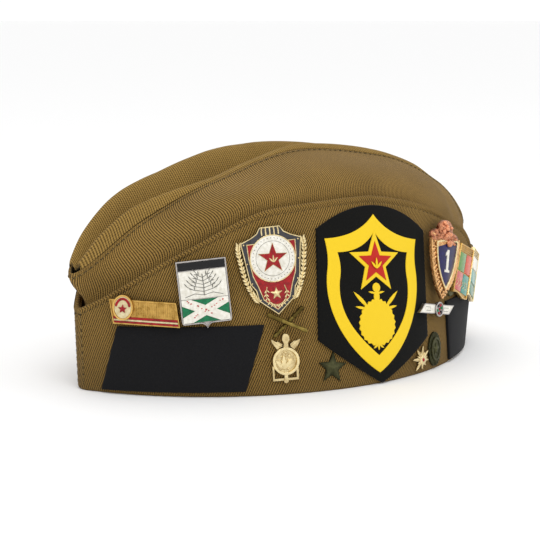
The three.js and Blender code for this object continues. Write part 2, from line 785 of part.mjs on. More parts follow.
function barBadge() {
  const pin = pinAt('bar');
  const lean = 0.1 * barHeight;
  const bar = (inset) => {
    const [half, tall] = [barLength / 2 - inset, barHeight / 2 - inset];
    return outline([[lean - half, -tall], [half + lean, -tall], [half - lean, tall], [-half - lean, tall]]);
  };
  const [medalX, medalY] = [-0.32 * barLength, 0.17 * barHeight];
  const medal = oval(medallionWidth, medallionHeight, medalX, medalY);
  const medalTop = plateWall + 2 * rimWall;
  const body = fused(plate('bar', bar(0)), rim(bar(0), bar(rimWall)), slab(medal, medalTop));
  addPiece(pin, 'bar_badge', body, gilt);
  const small = star(0.22 * medallionWidth, 0.45, medalX, medalY - 0.04 * medallionHeight);
  addPiece(pin, 'bar_star', slab(small, enamelWall, medalTop + clothGap), redEnamel);
  return pin;
}

function townBadge() {
  const pin = pinAt('town');
  const body = (inset) => {
    const [half, top, foot] = [townWidth / 2 - inset, townHeight / 2 - inset, inset - 0.43 * townHeight];
    const shape = new THREE.Shape().moveTo(-half, top).lineTo(-half, foot + 0.07 * townHeight);
    shape.quadraticCurveTo(-half, foot, 0.05 * townWidth - half, foot).lineTo(-0.14 * townWidth, foot);
    shape.quadraticCurveTo(-0.04 * townWidth, foot, 0, foot - 0.07 * townHeight);
    shape.quadraticCurveTo(0.04 * townWidth, foot, 0.14 * townWidth, foot);
    shape.lineTo(half - 0.05 * townWidth, foot).quadraticCurveTo(half, foot, half, foot + 0.07 * townHeight);
    return shape.lineTo(half, top);
  };
  addPiece(pin, 'shield_badge', fused(plate('town', body(0)), rim(body(0), body(rimWall))), steel);
  const half = townWidth / 2 - rimWall - clothGap;
  const top = townHeight / 2 - rimWall - clothGap;
  const field = (low, high) => outline([[-half, low], [half, low], [half, high], [-half, high]]);
  const [headerLow, greenTop, greenLow] = [top - 0.15 * townHeight, -0.04 * townHeight, -0.39 * townHeight];
  const base = plateWall + clothGap;
  addPiece(pin, 'shield_header', slab(field(headerLow, top), enamelWall, base), blackEnamel);
  const white = field(greenTop + clothGap, headerLow - clothGap);
  addPiece(pin, 'shield_field', slab(white, enamelWall, base), whiteEnamel);
  addPiece(pin, 'shield_green', slab(field(greenLow, greenTop), enamelWall, base), greenEnamel);
  const arm = 0.09 * townWidth;
  const stripe = (way) => outline([
    [-way * half, greenLow], [way * (arm * 1.6 - half), greenLow], [way * half, greenTop - arm * 0.2],
    [way * half, greenTop], [way * (half - arm * 1.6), greenTop], [-way * half, greenLow + arm * 0.2],
  ]);
  const saltireBase = base + enamelWall + clothGap;
  const saltire = fused(slab(stripe(1), enamelWall, saltireBase), slab(stripe(-1), enamelWall, saltireBase));
  addPiece(pin, 'shield_saltire', saltire, whiteEnamel);
  return pin;
}

function meritBadge() {
  const pin = pinAt('merit');
  const shieldTop = 0.42 * meritHeight;
  const body = (inset) => {
    const half = 0.41 * meritWidth - inset;
    const points = [
      [0, inset * 1.2 - meritHeight / 2], [half * 0.5, inset - 0.38 * meritHeight],
      [half * 0.72, -0.2 * meritHeight], [half, -0.02 * meritHeight],
      [half, 0.29 * meritHeight], [half * 0.55, 0.36 * meritHeight], [half * 0.4, shieldTop - inset],
    ];
    const left = points.slice(1).reverse().map(([x, y]) => [-x, y]);
    return outline([...points, ...left]);
  };
  const wheat = oval(meritWidth, 0.74 * meritHeight, 0, -0.005 * meritHeight);
  const crestHalf = 0.17 * meritWidth;
  const crest = outline([
    [-crestHalf, 0.37 * meritHeight], [crestHalf, 0.37 * meritHeight],
    [crestHalf, 0.48 * meritHeight], [0, 0.5 * meritHeight], [-crestHalf, 0.48 * meritHeight],
  ]);
  const plateBody = fused(
    slab(wheat, plateWall * 0.8),
    slab(body(0), plateWall),
    rim(body(0), body(2.4 * rimWall)),
    slab(crest, plateWall + rimWall),
  );
  addPiece(pin, 'merit_badge', plateBody, steel);
  const discBase = plateWall + rimWall + clothGap;
  const discY = 0.14 * meritHeight;
  const disc = oval(2 * meritDisc, 2 * meritDisc, 0, discY);
  addPiece(pin, 'merit_disc', slab(disc, enamelWall, discBase, 12), whiteEnamel);
  const starBase = discBase + enamelWall + clothGap;
  addPiece(pin, 'merit_star', slab(star(0.6 * meritDisc, 0.4, 0, discY), enamelWall, starBase), redEnamel);
  const [lowHalf, lowTop] = [0.2 * meritWidth, -0.19 * meritHeight];
  const low = outline([[-lowHalf, lowTop], [0, -0.42 * meritHeight], [lowHalf, lowTop]]);
  addPiece(pin, 'merit_field', slab(low, enamelWall, plateWall + clothGap), redEnamel);
  const lowBase = plateWall + enamelWall + 2 * clothGap;
  const lowStar = star(lowStarRadius, 0.4, 0, -0.26 * meritHeight);
  addPiece(pin, 'merit_low_star', slab(lowStar, enamelWall, lowBase), gilt);
  return pin;
}

// Small plain pins, each soldered in one piece

function crossedBarrels() {
  const pin = pinAt('barrels');
  const rod = (angle, height) => {
    const geometry = new THREE.CylinderGeometry(barrelRadius * 0.8, barrelRadius, barrelLength, 8);
    return geometry.rotateZ(angle).translate(0, 0, height);
  };
  const rods = fused(rod(1.17, barrelRadius), rod(-0.8, 1.6 * barrelRadius));
  addPiece(pin, 'crossed_barrels', rods, rodOlive);
  return pin;
}

function giltEmblem() {
  const pin = pinAt('emblem');
  const ring = oval(2 * emblemRing, 2 * emblemRing);
  const bore = 1.66 * emblemRing;
  const wing = (way) => outline([
    [way * 0.25 * emblemRing, 0.8 * emblemRing], [way * 0.95 * emblemRing, 0.75 * emblemRing],
    [way * 1.1 * emblemRing, 1.5 * emblemRing], [way * 0.2 * emblemRing, 1.1 * emblemRing],
  ]);
  const footY = -0.5 * emblemHeight;
  const box = (half, low, high) => outline([[-half, low], [half, low], [half, high], [-half, high]]);
  const footFrame = box(emblemRing, footY, -0.5 * emblemRing);
  footFrame.holes.push(box(emblemRing - emblemFrame, footY + emblemFrame, -1.1 * emblemRing));
  const head = oval(0.5 * emblemRing, 0.62 * emblemRing, 0, 0.5 * emblemHeight - 0.31 * emblemRing);
  const body = fused(
    slab(ring, plateWall * 1.3, 0, 8),
    slab(footFrame, plateWall * 0.8),
    slab(wing(1), plateWall),
    slab(wing(-1), plateWall),
    slab(head, plateWall * 1.2),
    slab(box(emblemPost / 2, 0, 0.42 * emblemHeight), plateWall),
  );
  const dish = slab(oval(bore, bore), plateWall, plateWall * 0.9, 8);
  addPiece(pin, 'gilt_emblem', cutFrom(body, dish), gilt);
  return pin;
}

// Star whose arms rise to a ridge, from a flat back
function facetedStar(radius, edge, rise) {
  const corners = star(radius, 0.4).getPoints();
  const ring = corners.slice(0, 10);
  const points = [new THREE.Vector3(0, 0, 0), new THREE.Vector3(0, 0, edge + rise)];
  ring.forEach(({ x, y }) => points.push(new THREE.Vector3(x, y, 0), new THREE.Vector3(x, y, edge)));
  const index = [];
  ring.forEach((corner, k) => {
    const [low, high] = [2 + 2 * k, 3 + 2 * k];
    const [nextLow, nextHigh] = [2 + 2 * ((k + 1) % 10), 3 + 2 * ((k + 1) % 10)];
    index.push(0, nextLow, low, low, nextLow, nextHigh, low, nextHigh, high, high, nextHigh, 1);
  });
  const geometry = new THREE.BufferGeometry().setFromPoints(points);
  geometry.setIndex(index);
  return geometry;
}

function smallStar() {
  const pin = pinAt('smallStar');
  addPiece(pin, 'small_star', facetedStar(smallStarRadius, plateWall * 0.5, plateWall), darkOlive);
  return pin;
}

function giltSpray() {
  const pin = pinAt('spray');
  const reaches = [0.9, 0.85, 0.65, 0.5, 0.6, 0.95, 1.1, 0.9];
  const blades = reaches.map((reach, k) => {
    const angle = (k * 2 * Math.PI) / reaches.length;
    return slab(leaf(sprayPinRadius * reach, sprayPinLeaf, angle), plateWall * 0.8, 0, 3);
  });
  const heart = slab(oval(sprayPinHeart, sprayPinHeart), plateWall * 1.3, 0, 4);
  addPiece(pin, 'gilt_spray', fused(heart, ...blades), gilt);
  return pin;
}

function ovalCockade() {
  const pin = pinAt('cockade');
  const body = fused(
    slab(oval(cockadeWidth, cockadeHeight), plateWall * 0.8, 0, 8),
    slab(oval(0.66 * cockadeWidth, 0.66 * cockadeHeight), plateWall * 1.3, 0, 8),
    slab(star(0.33 * cockadeWidth), plateWall * 1.8),
  );
  addPiece(pin, 'oval_cockade', body, darkOlive);
  return pin;
}

function lozengePin() {
  const pin = pinAt('lozenge');
  const [half, tall, skew] = [lozengeLength / 2, lozengeHeight / 2, 0.09 * lozengeLength];
  const shape = outline([
    [-half - skew, -tall], [half - skew, -tall], [half + skew, tall], [skew - half, tall],
  ]);
  addPiece(pin, 'lozenge_pin', plate('lozenge', shape), whiteEnamel);
  const disc = slab(oval(1.6 * lozengeHeight, 1.7 * lozengeHeight), plateWall, plateWall + clothGap, 8);
  addPiece(pin, 'lozenge_disc', disc, steel);
  return pin;
}

function classBadge() {
  const pin = pinAt('class');
  const body = shield(classWidth, classHeight);
  const rimWide = 0.165 * classWidth;
  const fieldX = 0.045 * classWidth;
  const inner = (inset) => shield(classWidth - 2 * inset, classHeight - 2.6 * inset, fieldX);
  const top = classHeight / 2;
  const lump = (wide, tall, x, y, height) => (
    slab(oval(wide * classWidth, tall * classHeight, x * classWidth, top + y * classHeight), height, 0, 5)
  );
  const ornament = [
    lump(0.42, 0.34, 0, 0.09, plateWall + 2 * rimWall),
    lump(0.3, 0.2, -0.26, 0, plateWall + rimWall),
    lump(0.3, 0.2, 0.26, 0, plateWall + rimWall),
  ];
  const frame = rim(shield(classWidth, classHeight), inner(rimWide));
  addPiece(pin, 'class_badge', fused(plate('class', body), frame, ...ornament), gilt);
  const fieldBase = plateWall + clothGap;
  const blue = cutFrom(
    slab(inner(rimWide + 1.5 * clothGap), enamelWall, fieldBase),
    lump(0.44, 0.36, 0, 0.09, 2 * plateWall),
  );
  addPiece(pin, 'class_field', blue, blueEnamel);
  const figureBase = fieldBase + enamelWall + clothGap;
  const figure = figureOne(2 * fieldX, 0.11 * classHeight);
  addPiece(pin, 'class_figure', slab(figure, enamelWall, figureBase), whiteEnamel);
  return pin;
}

// Figure 1 with a foot bar and a flag at its head, round a middle point
function figureOne(x, y) {
  const [half, tall] = [figureStem / 2, figureHeight / 2];
  const [foot, head] = [half + 0.11 * figureHeight, half + 0.1 * figureHeight];
  const corners = [
    [-foot, -tall], [foot, -tall], [foot, 0.22 * tall - tall], [half, 0.22 * tall - tall],
    [half, tall], [-0.5 * half, tall], [-head, 0.66 * tall], [-head, 0.44 * tall],
    [-half, 0.56 * tall], [-half, 0.22 * tall - tall], [-foot, 0.22 * tall - tall],
  ];
  return outline(corners.map((corner) => [corner[0] + x, corner[1] + y]));
}

// Flag-shaped badge, whose sides lean and whose lower edge is waved
function flagShape(inset) {
  const corner = (x, y) => [x * flagWidth - Math.sign(x) * inset, y * flagHeight - Math.sign(y) * inset];
  const [footX, footY] = corner(-0.55, -0.5);
  const [endX, endY] = corner(0.5, -0.44);
  const shape = new THREE.Shape().moveTo(...corner(-0.43, 0.45)).lineTo(footX, footY);
  const wave = 0.05 * flagHeight;
  const [middleX, middleY] = [(footX + endX) / 2, (footY + endY) / 2];
  shape.quadraticCurveTo((footX + middleX) / 2, (footY + middleY) / 2 + wave, middleX, middleY);
  shape.quadraticCurveTo((middleX + endX) / 2, (middleY + endY) / 2 - wave, endX, endY);
  return shape.lineTo(...corner(0.55, 0.53));
}

function flagBadge(place, bodyName, fieldName, enamel) {
  const pin = pinAt(place);
  const body = fused(plate(place, flagShape(0)), rim(flagShape(0), flagShape(rimWall)));
  addPiece(pin, bodyName, body, gilt);
  const field = slab(flagShape(rimWall + clothGap), enamelWall, plateWall + clothGap);
  addPiece(pin, fieldName, field, enamel);
  return pin;
}

function clothKnot() {
  const pin = pinAt('knot');
  const flatness = (overTab - clothGap) / 2 / knotRadius;
  const knot = new THREE.SphereGeometry(knotRadius, 12, 8).scale(1, 0.8, flatness);
  addPiece(pin, 'cloth_knot', knot.translate(0, 0, flatness * knotRadius), darkOlive);
  return pin;
}

const garrisonCap = new THREE.Group();
garrisonCap.add(makeCloth(), makeTabs(), makePatch());
garrisonCap.add(barBadge(), townBadge(), meritBadge(), crossedBarrels(), giltEmblem(), smallStar());
garrisonCap.add(giltSpray(), ovalCockade(), lozengePin(), classBadge(), clothKnot());
garrisonCap.add(flagBadge('flag', 'flag_badge', 'flag_field', greenEnamel));
garrisonCap.add(flagBadge('end', 'end_badge', 'end_field', whiteEnamel));

// The origin is below the middle of the box that holds the whole cap
const box = new THREE.Box3().setFromObject(garrisonCap, true);
garrisonCap.position.set(-(box.min.x + box.max.x) / 2, -(box.min.y + box.max.y) / 2, -box.min.z);

export default garrisonCap;
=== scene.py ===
import json
import math

import bmesh
import bpy
import numpy as np
from mathutils import Matrix, Vector
from mathutils.geometry import tessellate_polygon

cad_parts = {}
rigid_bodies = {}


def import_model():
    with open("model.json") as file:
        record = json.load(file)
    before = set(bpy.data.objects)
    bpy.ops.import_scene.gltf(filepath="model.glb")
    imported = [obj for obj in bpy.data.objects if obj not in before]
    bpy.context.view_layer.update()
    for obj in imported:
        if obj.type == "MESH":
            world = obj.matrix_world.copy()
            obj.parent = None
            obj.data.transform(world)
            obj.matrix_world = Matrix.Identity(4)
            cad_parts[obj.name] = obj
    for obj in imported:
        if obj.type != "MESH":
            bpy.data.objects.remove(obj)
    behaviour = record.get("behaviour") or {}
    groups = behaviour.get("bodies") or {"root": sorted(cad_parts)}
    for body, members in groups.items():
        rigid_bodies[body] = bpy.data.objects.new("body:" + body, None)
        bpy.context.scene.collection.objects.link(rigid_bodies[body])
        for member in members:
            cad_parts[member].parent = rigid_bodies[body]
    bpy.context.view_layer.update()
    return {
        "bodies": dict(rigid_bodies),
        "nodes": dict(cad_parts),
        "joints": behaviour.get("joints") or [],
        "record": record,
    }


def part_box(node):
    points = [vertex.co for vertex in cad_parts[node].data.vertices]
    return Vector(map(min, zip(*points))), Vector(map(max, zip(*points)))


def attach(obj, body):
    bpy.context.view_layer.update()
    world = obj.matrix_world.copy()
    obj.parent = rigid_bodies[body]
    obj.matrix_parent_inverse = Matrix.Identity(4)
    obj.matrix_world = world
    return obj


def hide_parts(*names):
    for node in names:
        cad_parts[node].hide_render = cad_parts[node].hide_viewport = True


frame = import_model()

mm = 0.001

# Sizes of the cap in millimetres, as in the part's source
cap = {
    "halfLength": 114.4, "halfWidth": 72.2, "bandHeight": 89, "crownHeight": 108.4,
    "frontRounding": 28, "backFold": 1.2,
    "backFlare": 0.032, "frontFlare": 0.145, "sideLean": 0.117,
    "ridgeBack": 118.7, "ridgeFront": 121.9, "ridgeHalf": 18.3,
    "foldHalf": 15.4, "foldRise": 2, "topDent": 26, "topReach": 0.985,
    "bandWall": 2.6, "crownWall": 1.5, "clothGap": 0.3, "bandStandOff": 2.2,
    "startHandle": 0.35, "endHandle": 0.45, "seamSlope": 0.25,
}
backTip = cap["backFold"] + cap["crownWall"] + cap["bandStandOff"] + cap["clothGap"] + cap["bandWall"]

# Heights along the cap, from its back (-1) to its front (1), as shares of its own height
profiles = {
    "bandTop": [
        (-1, 0.439), (-0.75, 0.727), (-0.4, 0.963), (0, 1), (0.2, 0.963), (0.4, 0.894), (0.56, 0.808),
        (0.68, 0.743), (0.78, 0.658), (0.88, 0.571), (1, 0.571),
    ],
    "seam": [
        (-1, 0.512), (-0.75, 0.731), (-0.4, 0.895), (0, 1), (0.4, 0.951), (0.75, 0.801), (1, 0.572),
    ],
    "swellRight": [
        (-1, 0), (-0.9, 0.056), (-0.82, 0.059), (-0.72, 0.044), (-0.6, 0.02), (-0.5, 0), (-0.4, -0.011),
        (-0.3, -0.009), (-0.2, -0.01), (-0.08, -0.004), (0, 0.002), (0.3, 0.006), (0.5, 0),
        (0.62, 0.002), (0.75, -0.012), (0.9, 0), (1, 0),
    ],
    "swellLeft": [
        (-1, 0), (-0.9, 0.046), (-0.82, 0.053), (-0.72, 0.058), (-0.6, 0.047), (-0.5, 0.036),
        (-0.4, 0.035), (-0.3, 0.03), (-0.2, 0.016), (-0.08, -0.003), (0, -0.006), (0.3, -0.002),
        (0.5, 0), (0.62, 0), (0.75, 0), (0.9, 0), (1, 0),
    ],
}


# Value of a profile at places along the cap, on a smooth curve without overshoot
def follow(name, at):
    places, values = (np.array(column, float) for column in zip(*profiles[name]))
    slopes = np.diff(values) / np.diff(places)
    bends = np.zeros(len(places))
    bends[0], bends[-1] = slopes[0], slopes[-1]
    for i in range(1, len(slopes)):
        before, after = slopes[i - 1], slopes[i]
        if before * after > 0:
            bends[i] = 2 * before * after / (before + after)
    row = np.clip(np.searchsorted(places, at) - 1, 0, len(slopes) - 1)
    span = places[row + 1] - places[row]
    t = np.clip((at - places[row]) / span, 0, 1)
    rise = t * t * (3 - 2 * t)
    start = t * (1 - t) ** 2 * span * bends[row]
    end = t * t * (t - 1) * span * bends[row + 1]
    return values[row] + (values[row + 1] - values[row]) * rise + start + end


# Half outline of the band at a height: a back tip arc, one long side arc and a front tip arc
def planArcs(height):
    back = cap["halfLength"] + cap["backFlare"] * height
    front = cap["halfLength"] + cap["frontFlare"] * height
    width = cap["halfWidth"] - cap["sideLean"] * height
    rounding = cap["frontRounding"]
    span = back - backTip + front - rounding
    backDrop, frontDrop = 2 * (width - backTip), 2 * (width - rounding)
    linear = backDrop * span
    constant = frontDrop * (width**2 - backTip**2) - backDrop * (span**2 + width**2 - rounding**2)
    reach = -constant / (linear + np.sqrt(linear**2 - (frontDrop - backDrop) * constant))
    radius = (reach**2 + width**2 - backTip**2) / backDrop
    backTurn = math.pi / 2 - np.arcsin(reach / (radius - backTip))
    frontTurn = math.pi / 2 - np.arcsin((span - reach) / (radius - rounding))
    flat = np.zeros_like(width)
    return [
        (backTip - back, flat, flat + backTip, backTurn),
        (reach + backTip - back, radius - width, radius, math.pi - backTurn - frontTurn),
        (front - rounding, flat, flat + rounding, frontTurn),
    ]


# Points of the band's right outer face and their outward directions. share runs from the back
# end to the front end, and out moves a point off the face.
def bandPoint(share, height, out=0.0):
    share, height, out = (a.astype(float) for a in np.broadcast_arrays(share, height, out))
    arcs = planArcs(height)
    left = share * sum(radius * turn for _, _, radius, turn in arcs)
    angle, x, y, radius = (np.zeros_like(left) for _ in range(4))
    turned, passed = 0, 0
    for arcX, arcY, arcRadius, arcTurn in arcs:
        here = left >= passed - 1e-9
        angle = np.where(here, turned + (left - passed) / arcRadius, angle)
        x, y = np.where(here, arcX, x), np.where(here, arcY, y)
        radius = np.where(here, arcRadius, radius)
        turned, passed = turned + arcTurn, passed + arcRadius * arcTurn
    normal = np.stack([-np.cos(angle), -np.sin(angle), np.zeros_like(angle)], -1)
    centre = np.stack([x, y, height], -1)
    return centre + normal * (radius + out)[..., None], normal


halfOutline = float(sum(radius * turn for _, _, radius, turn in planArcs(np.array(0.0))))


def bandPlace(share):
    return bandPoint(share, 0.0)[0][..., 0] / cap["halfLength"]


def bandTop(share):
    return cap["bandHeight"] * follow("bandTop", bandPlace(share))


# The part is centred on its box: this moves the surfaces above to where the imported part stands
backEnd = cap["halfLength"] + cap["backFlare"] * float(bandTop(np.array(0.0)))
shift = np.array([
    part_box("flap_left")[0].x / mm + backEnd,
    (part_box("flap_right")[1].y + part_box("flap_left")[0].y) / 2 / mm,
    0,
])


def unit(vectors):
    return vectors / np.maximum(np.linalg.norm(vectors, axis=-1, keepdims=True), 1e-9)


def ridgeSpread(at):
    return np.sqrt(np.maximum(0, 1 - at**4))


def ridgeEnd(at):
    x = at * np.where(at < 0, cap["ridgeBack"], cap["ridgeFront"])
    return np.stack([x, -cap["ridgeHalf"] * ridgeSpread(at), cap["crownHeight"] * follow("seam", at)], -1)


# Soft hollows of the crown's sides, as in the part's source, and narrow creases that only show
# here. Places are shares of the outline and of the height above the band.
crownDents = {
    "Right": [
        (0.79, 0.45, 0.022, 0.5, 0.12), (0.9, 0.4, 0.02, 0.4, 0.09), (0.25, 0.5, 0.1, 0.5, -0.08),
    ],
    "Left": [(0.7, 0.45, 0.03, 0.5, 0.1), (0.3, 0.5, 0.1, 0.5, -0.08)],
}


def dentDepth(side, share, up):
    total = 0
    for across, middle, wide, tall, depth in crownDents[side]:
        total = total + depth * np.exp(-(((share - across) / wide) ** 2) - ((up - middle) / tall) ** 2)
    return cap["ridgeHalf"] * total * np.sin(math.pi * up)


# Outer face of the crown's side, [column][row]: up to 1 it lies inside the band, from 1 to 2 it
# curves over to the ridge seam
def crownSide(side, share, up):
    share, up = share[:, None], up[None, :]
    top = bandTop(share)
    inside = cap["bandWall"] + cap["clothGap"] + cap["bandStandOff"]
    low, _ = bandPoint(share, top * up, cap["bandStandOff"] * (1 - up**2) - inside)
    start, normal = bandPoint(share, top, -inside)
    below, _ = bandPoint(share, top - 1, -inside)
    at = bandPlace(share)
    end = ridgeEnd(at)
    reach = np.linalg.norm(end - start, axis=-1, keepdims=True)
    level = (1 - np.abs(at) ** 3)[..., None]
    arriving = normal * level
    arriving[..., 2:] = level - 1 - cap["seamSlope"] * level
    first = start + unit(start - below) * reach * cap["startHandle"]
    second = end + unit(arriving) * reach * cap["endHandle"]
    t = np.clip(up - 1, 0, 1)[..., None]
    high = (1 - t) ** 3 * start + 3 * t * (1 - t) ** 2 * first + 3 * t * t * (1 - t) * second + t**3 * end
    high = high - normal * dentDepth(side, share, t[..., 0])[..., None]
    grid = np.where((up <= 1)[..., None], low, high)
    grid[..., 1] = np.minimum(grid[..., 1], 0) - cap["clothGap"] / 2
    return grid


# Outward directions of a grid of points. A level foot keeps them flat in its lowest row.
def gridNormals(grid, levelFoot=False):
    normals = unit(np.cross(np.gradient(grid, axis=0), np.gradient(grid, axis=1)))
    for end in (0, -1):
        normals[end, :, 1] = 0
    if levelFoot:
        normals[:, 0, 2] = 0
    return unit(normals)


# One cross-section ring per column round a wall: the outer face, a rounded edge, the inner face
# and a rounded edge
def wallRings(grid, normals, wall, rounding, steps=3):
    lowWay, highWay = unit(grid[:, 0] - grid[:, 1]), unit(grid[:, -1] - grid[:, -2])

    def edge(point, normal, way, turns):
        inner = point - normal * wall
        rows = []
        for turn in turns:
            face = point if turn < math.pi / 2 + 1e-6 else inner
            sign = 1 if face is point else -1
            centre = face - normal * rounding * sign - way * rounding
            rows.append(centre + normal * rounding * math.cos(turn) + way * rounding * math.sin(turn))
        return rows

    outwards = [math.pi / 2 * k / steps for k in range(steps + 1)]
    inwards = [math.pi / 2 * (1 + k / steps) + 1e-5 for k in range(steps + 1)]
    top = edge(grid[:, -1], normals[:, -1], highWay, outwards + inwards)
    foot = edge(grid[:, 0], normals[:, 0], lowWay, outwards + inwards)
    outer = [grid[:, j] for j in range(1, grid.shape[1] - 1)]
    inner = [grid[:, j] - normals[:, j] * wall for j in range(grid.shape[1] - 2, 0, -1)]
    rows = foot[len(outwards) - 1::-1] + outer + top + inner + foot[:len(outwards) - 1:-1]
    lined = len(foot[:len(outwards)]) + len(outer) + len(outwards)
    return np.stack(rows, 1), lined


def linked(name, data):
    thing = bpy.data.objects.new(name, data)
    bpy.context.scene.collection.objects.link(thing)
    return thing


# UV map in millimetres along the cloth, from one place for each point of the mesh
def clothMap(mesh, places):
    corners = np.zeros(len(mesh.loops), int)
    mesh.loops.foreach_get("vertex_index", corners)
    mesh.uv_layers.new(name="cloth").data.foreach_set("uv", places[corners].ravel())


# Mesh object from rings of points in millimetres. mirror puts it on the wearer's left. The
# points of a ring from lined onwards are its inside.
def ringObject(name, rings, lined, materials, mirror=False):
    columns, around = rings.shape[:2]
    points = rings.copy()
    if mirror:
        points[..., 1] *= -1
    points = (points + shift) * mm
    index = np.arange(columns * around).reshape(columns, around)
    following = np.roll(index, -1, axis=1)
    quads = np.stack([index[:-1], index[1:], following[1:], following[:-1]], -1).reshape(-1, 4)
    caps = [list(index[0]), list(index[-1][::-1])]
    faces = quads.tolist() + caps
    if mirror:
        faces = [face[::-1] for face in faces]
    mesh = bpy.data.meshes.new(name)
    mesh.from_pydata(points.reshape(-1, 3).tolist(), [], faces)
    for material in materials:
        mesh.materials.append(material)
    middle = rings[:, lined // 2]
    along = np.concatenate([[0], np.cumsum(np.linalg.norm(np.diff(middle, axis=0), axis=1))])
    steps = np.linalg.norm(np.diff(rings, axis=1), axis=2)
    up = np.concatenate([np.zeros((columns, 1)), np.cumsum(steps, axis=1)], 1)
    clothMap(mesh, np.stack([np.repeat(along, around), up.ravel()], -1))
    inside = np.tile(np.arange(around) >= lined, columns - 1)
    slots = np.concatenate([inside.astype(int) * (len(materials) > 1), [0, 0]]).astype(np.int32)
    mesh.polygons.foreach_set("material_index", slots)
    mesh.shade_smooth()
    mesh.set_sharp_from_angle(angle=math.radians(50))
    mesh.validate()
    return linked(name, mesh)


# Puts a finished piece in the place of CAD nodes
def dress(thing, slot, *nodes):
    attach(thing, "root")
    if nodes:
        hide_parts(*nodes)
    return thing


# Colours are given as sRGB and turned to linear light
def linear(hexText):
    parts = [int(hexText[i:i + 2], 16) / 255 for i in (1, 3, 5)]
    return tuple(p / 12.92 if p <= 0.04045 else ((p + 0.055) / 1.055) ** 2.4 for p in parts) + (1,)


# Sets a node's input to a constant, or links it from a socket
def feed(material, socket, value):
    if isinstance(value, bpy.types.NodeSocket):
        material.node_tree.links.new(value, socket)
    else:
        socket.default_value = value


def addNode(material, kind, inputs=None, output=0, **settings):
    node = material.node_tree.nodes.new(kind)
    for key, value in settings.items():
        setattr(node, key, value)
    for key, value in (inputs or {}).items():
        feed(material, node.inputs[key], value)
    return node.outputs[output]


def compute(material, operation, first, second=0.0, third=0.0):
    return addNode(material, "ShaderNodeMath", {0: first, 1: second, 2: third}, operation=operation)


# Times a gain round its middle value of a half, and moved to another middle
def contrasted(material, value, gain, middle):
    return compute(material, "MULTIPLY_ADD", compute(material, "SUBTRACT", value, 0.5), gain, middle)


# Wave between 0 and 1
def wave(material, phase):
    return compute(material, "MULTIPLY_ADD", compute(material, "SINE", phase), 0.5, 0.5)


def firstTwo(material, vector):
    return addNode(material, "ShaderNodeSeparateXYZ", {0: vector}).node.outputs[:2]


def blendColours(material, share, first, second, mode="MIX"):
    inputs = {0: share, 6: first, 7: second}
    return addNode(material, "ShaderNodeMix", inputs, 2, data_type="RGBA", blend_type=mode)


def noise(material, place, scale, detail, roughness=0.5):
    inputs = {"Vector": place, "Scale": scale, "Detail": detail, "Roughness": roughness}
    return addNode(material, "ShaderNodeTexNoise", inputs)


# Depth in millimetres
def bumps(material, height, depth, strength):
    inputs = {"Height": height, "Distance": depth * mm, "Strength": strength}
    return addNode(material, "ShaderNodeBump", inputs)


# Inputs of the surface, by their names with _ for a space
def setSurface(material, **values):
    surface = material.node_tree.nodes["Principled BSDF"]
    for key, value in values.items():
        feed(material, surface.inputs[key.replace("_", " ")], value)


def newMaterial(name, **values):
    material = bpy.data.materials.new(name)
    material.use_nodes = True
    setSurface(material, **values)
    return material


# Place in the object's own frame, in metres
def objectPlace(material):
    return addNode(material, "ShaderNodeTexCoord", output="Object")


def greyOf(material, value):
    return addNode(material, "ShaderNodeCombineColor", {0: value, 1: value, 2: value})


# Wool twill: ribs run at an angle over the cloth's own UV map, in millimetres. It is darker
# towards its foot, by a share of its colour for each millimetre up.
def twillMaterial(name, light, dark, pitch, angle, contrast, footDarkening=0.0):
    material = newMaterial(
        name, Roughness=0.93, Sheen_Weight=0.03, Sheen_Roughness=0.5, Specular_IOR_Level=0.2,
    )
    place = addNode(material, "ShaderNodeUVMap", uv_map="cloth")
    wobble = noise(material, place, 0.12, 2)
    rotation = (0, 0, math.radians(angle))
    turned = addNode(material, "ShaderNodeMapping", {"Vector": place, "Rotation": rotation})
    across, along = firstTwo(material, turned)
    bent = compute(material, "MULTIPLY_ADD", wobble, 0.7, across)
    rib = wave(material, compute(material, "MULTIPLY", bent, 2 * math.pi / pitch))
    twist = compute(material, "MULTIPLY_ADD", bent, 2.2, compute(material, "MULTIPLY", along, 5.4))
    strand = wave(material, twist)
    fuzz = noise(material, place, 1.4, 4, 0.7)
    cloud = noise(material, place, 0.035, 3)
    woven = compute(material, "MULTIPLY_ADD", strand, 0.22, compute(material, "MULTIPLY", rib, 0.78))
    share = contrasted(material, contrasted(material, fuzz, 1.5, woven), contrast, 0.5)
    woolly = blendColours(material, share, linear(dark), linear(light))
    # Darker towards the foot: below this height in millimetres the colour is scaled down
    darkeningReach = 40.0
    low = compute(material, "MINIMUM", firstTwo(material, place)[1], darkeningReach)
    risen = compute(material, "MULTIPLY_ADD", low, footDarkening, 0.75 - darkeningReach * footDarkening)
    patchy = greyOf(material, compute(material, "MULTIPLY_ADD", cloud, 0.5, risen))
    relief = compute(material, "MULTIPLY_ADD", fuzz, 0.5, woven)
    colour = blendColours(material, 1.0, woolly, patchy, "MULTIPLY")
    setSurface(material, Base_Color=colour, Normal=bumps(material, relief, 0.3, 0.8))
    return material


# Olive wool twill of the band, its ribs leaning to the front as they rise
bandTwill = twillMaterial("wool twill of the band", "#97773c", "#33240c", 1.1, 25, 1.3, footDarkening=0.006)
# The same twill on the crown's sides, its ribs leaning to the back
crownTwill = twillMaterial("wool twill of the crown", "#9d7c40", "#3a2a0f", 1.0, 14, 1.35)
# The same twill over the top, with its ribs nearly upright
topTwill = twillMaterial("wool twill of the top", "#aa8847", "#443313", 1.1, -12, 1.0)
# Plain cotton lining inside
lining = newMaterial("cotton lining", Base_Color=linear("#5c4f33"), Roughness=0.95)


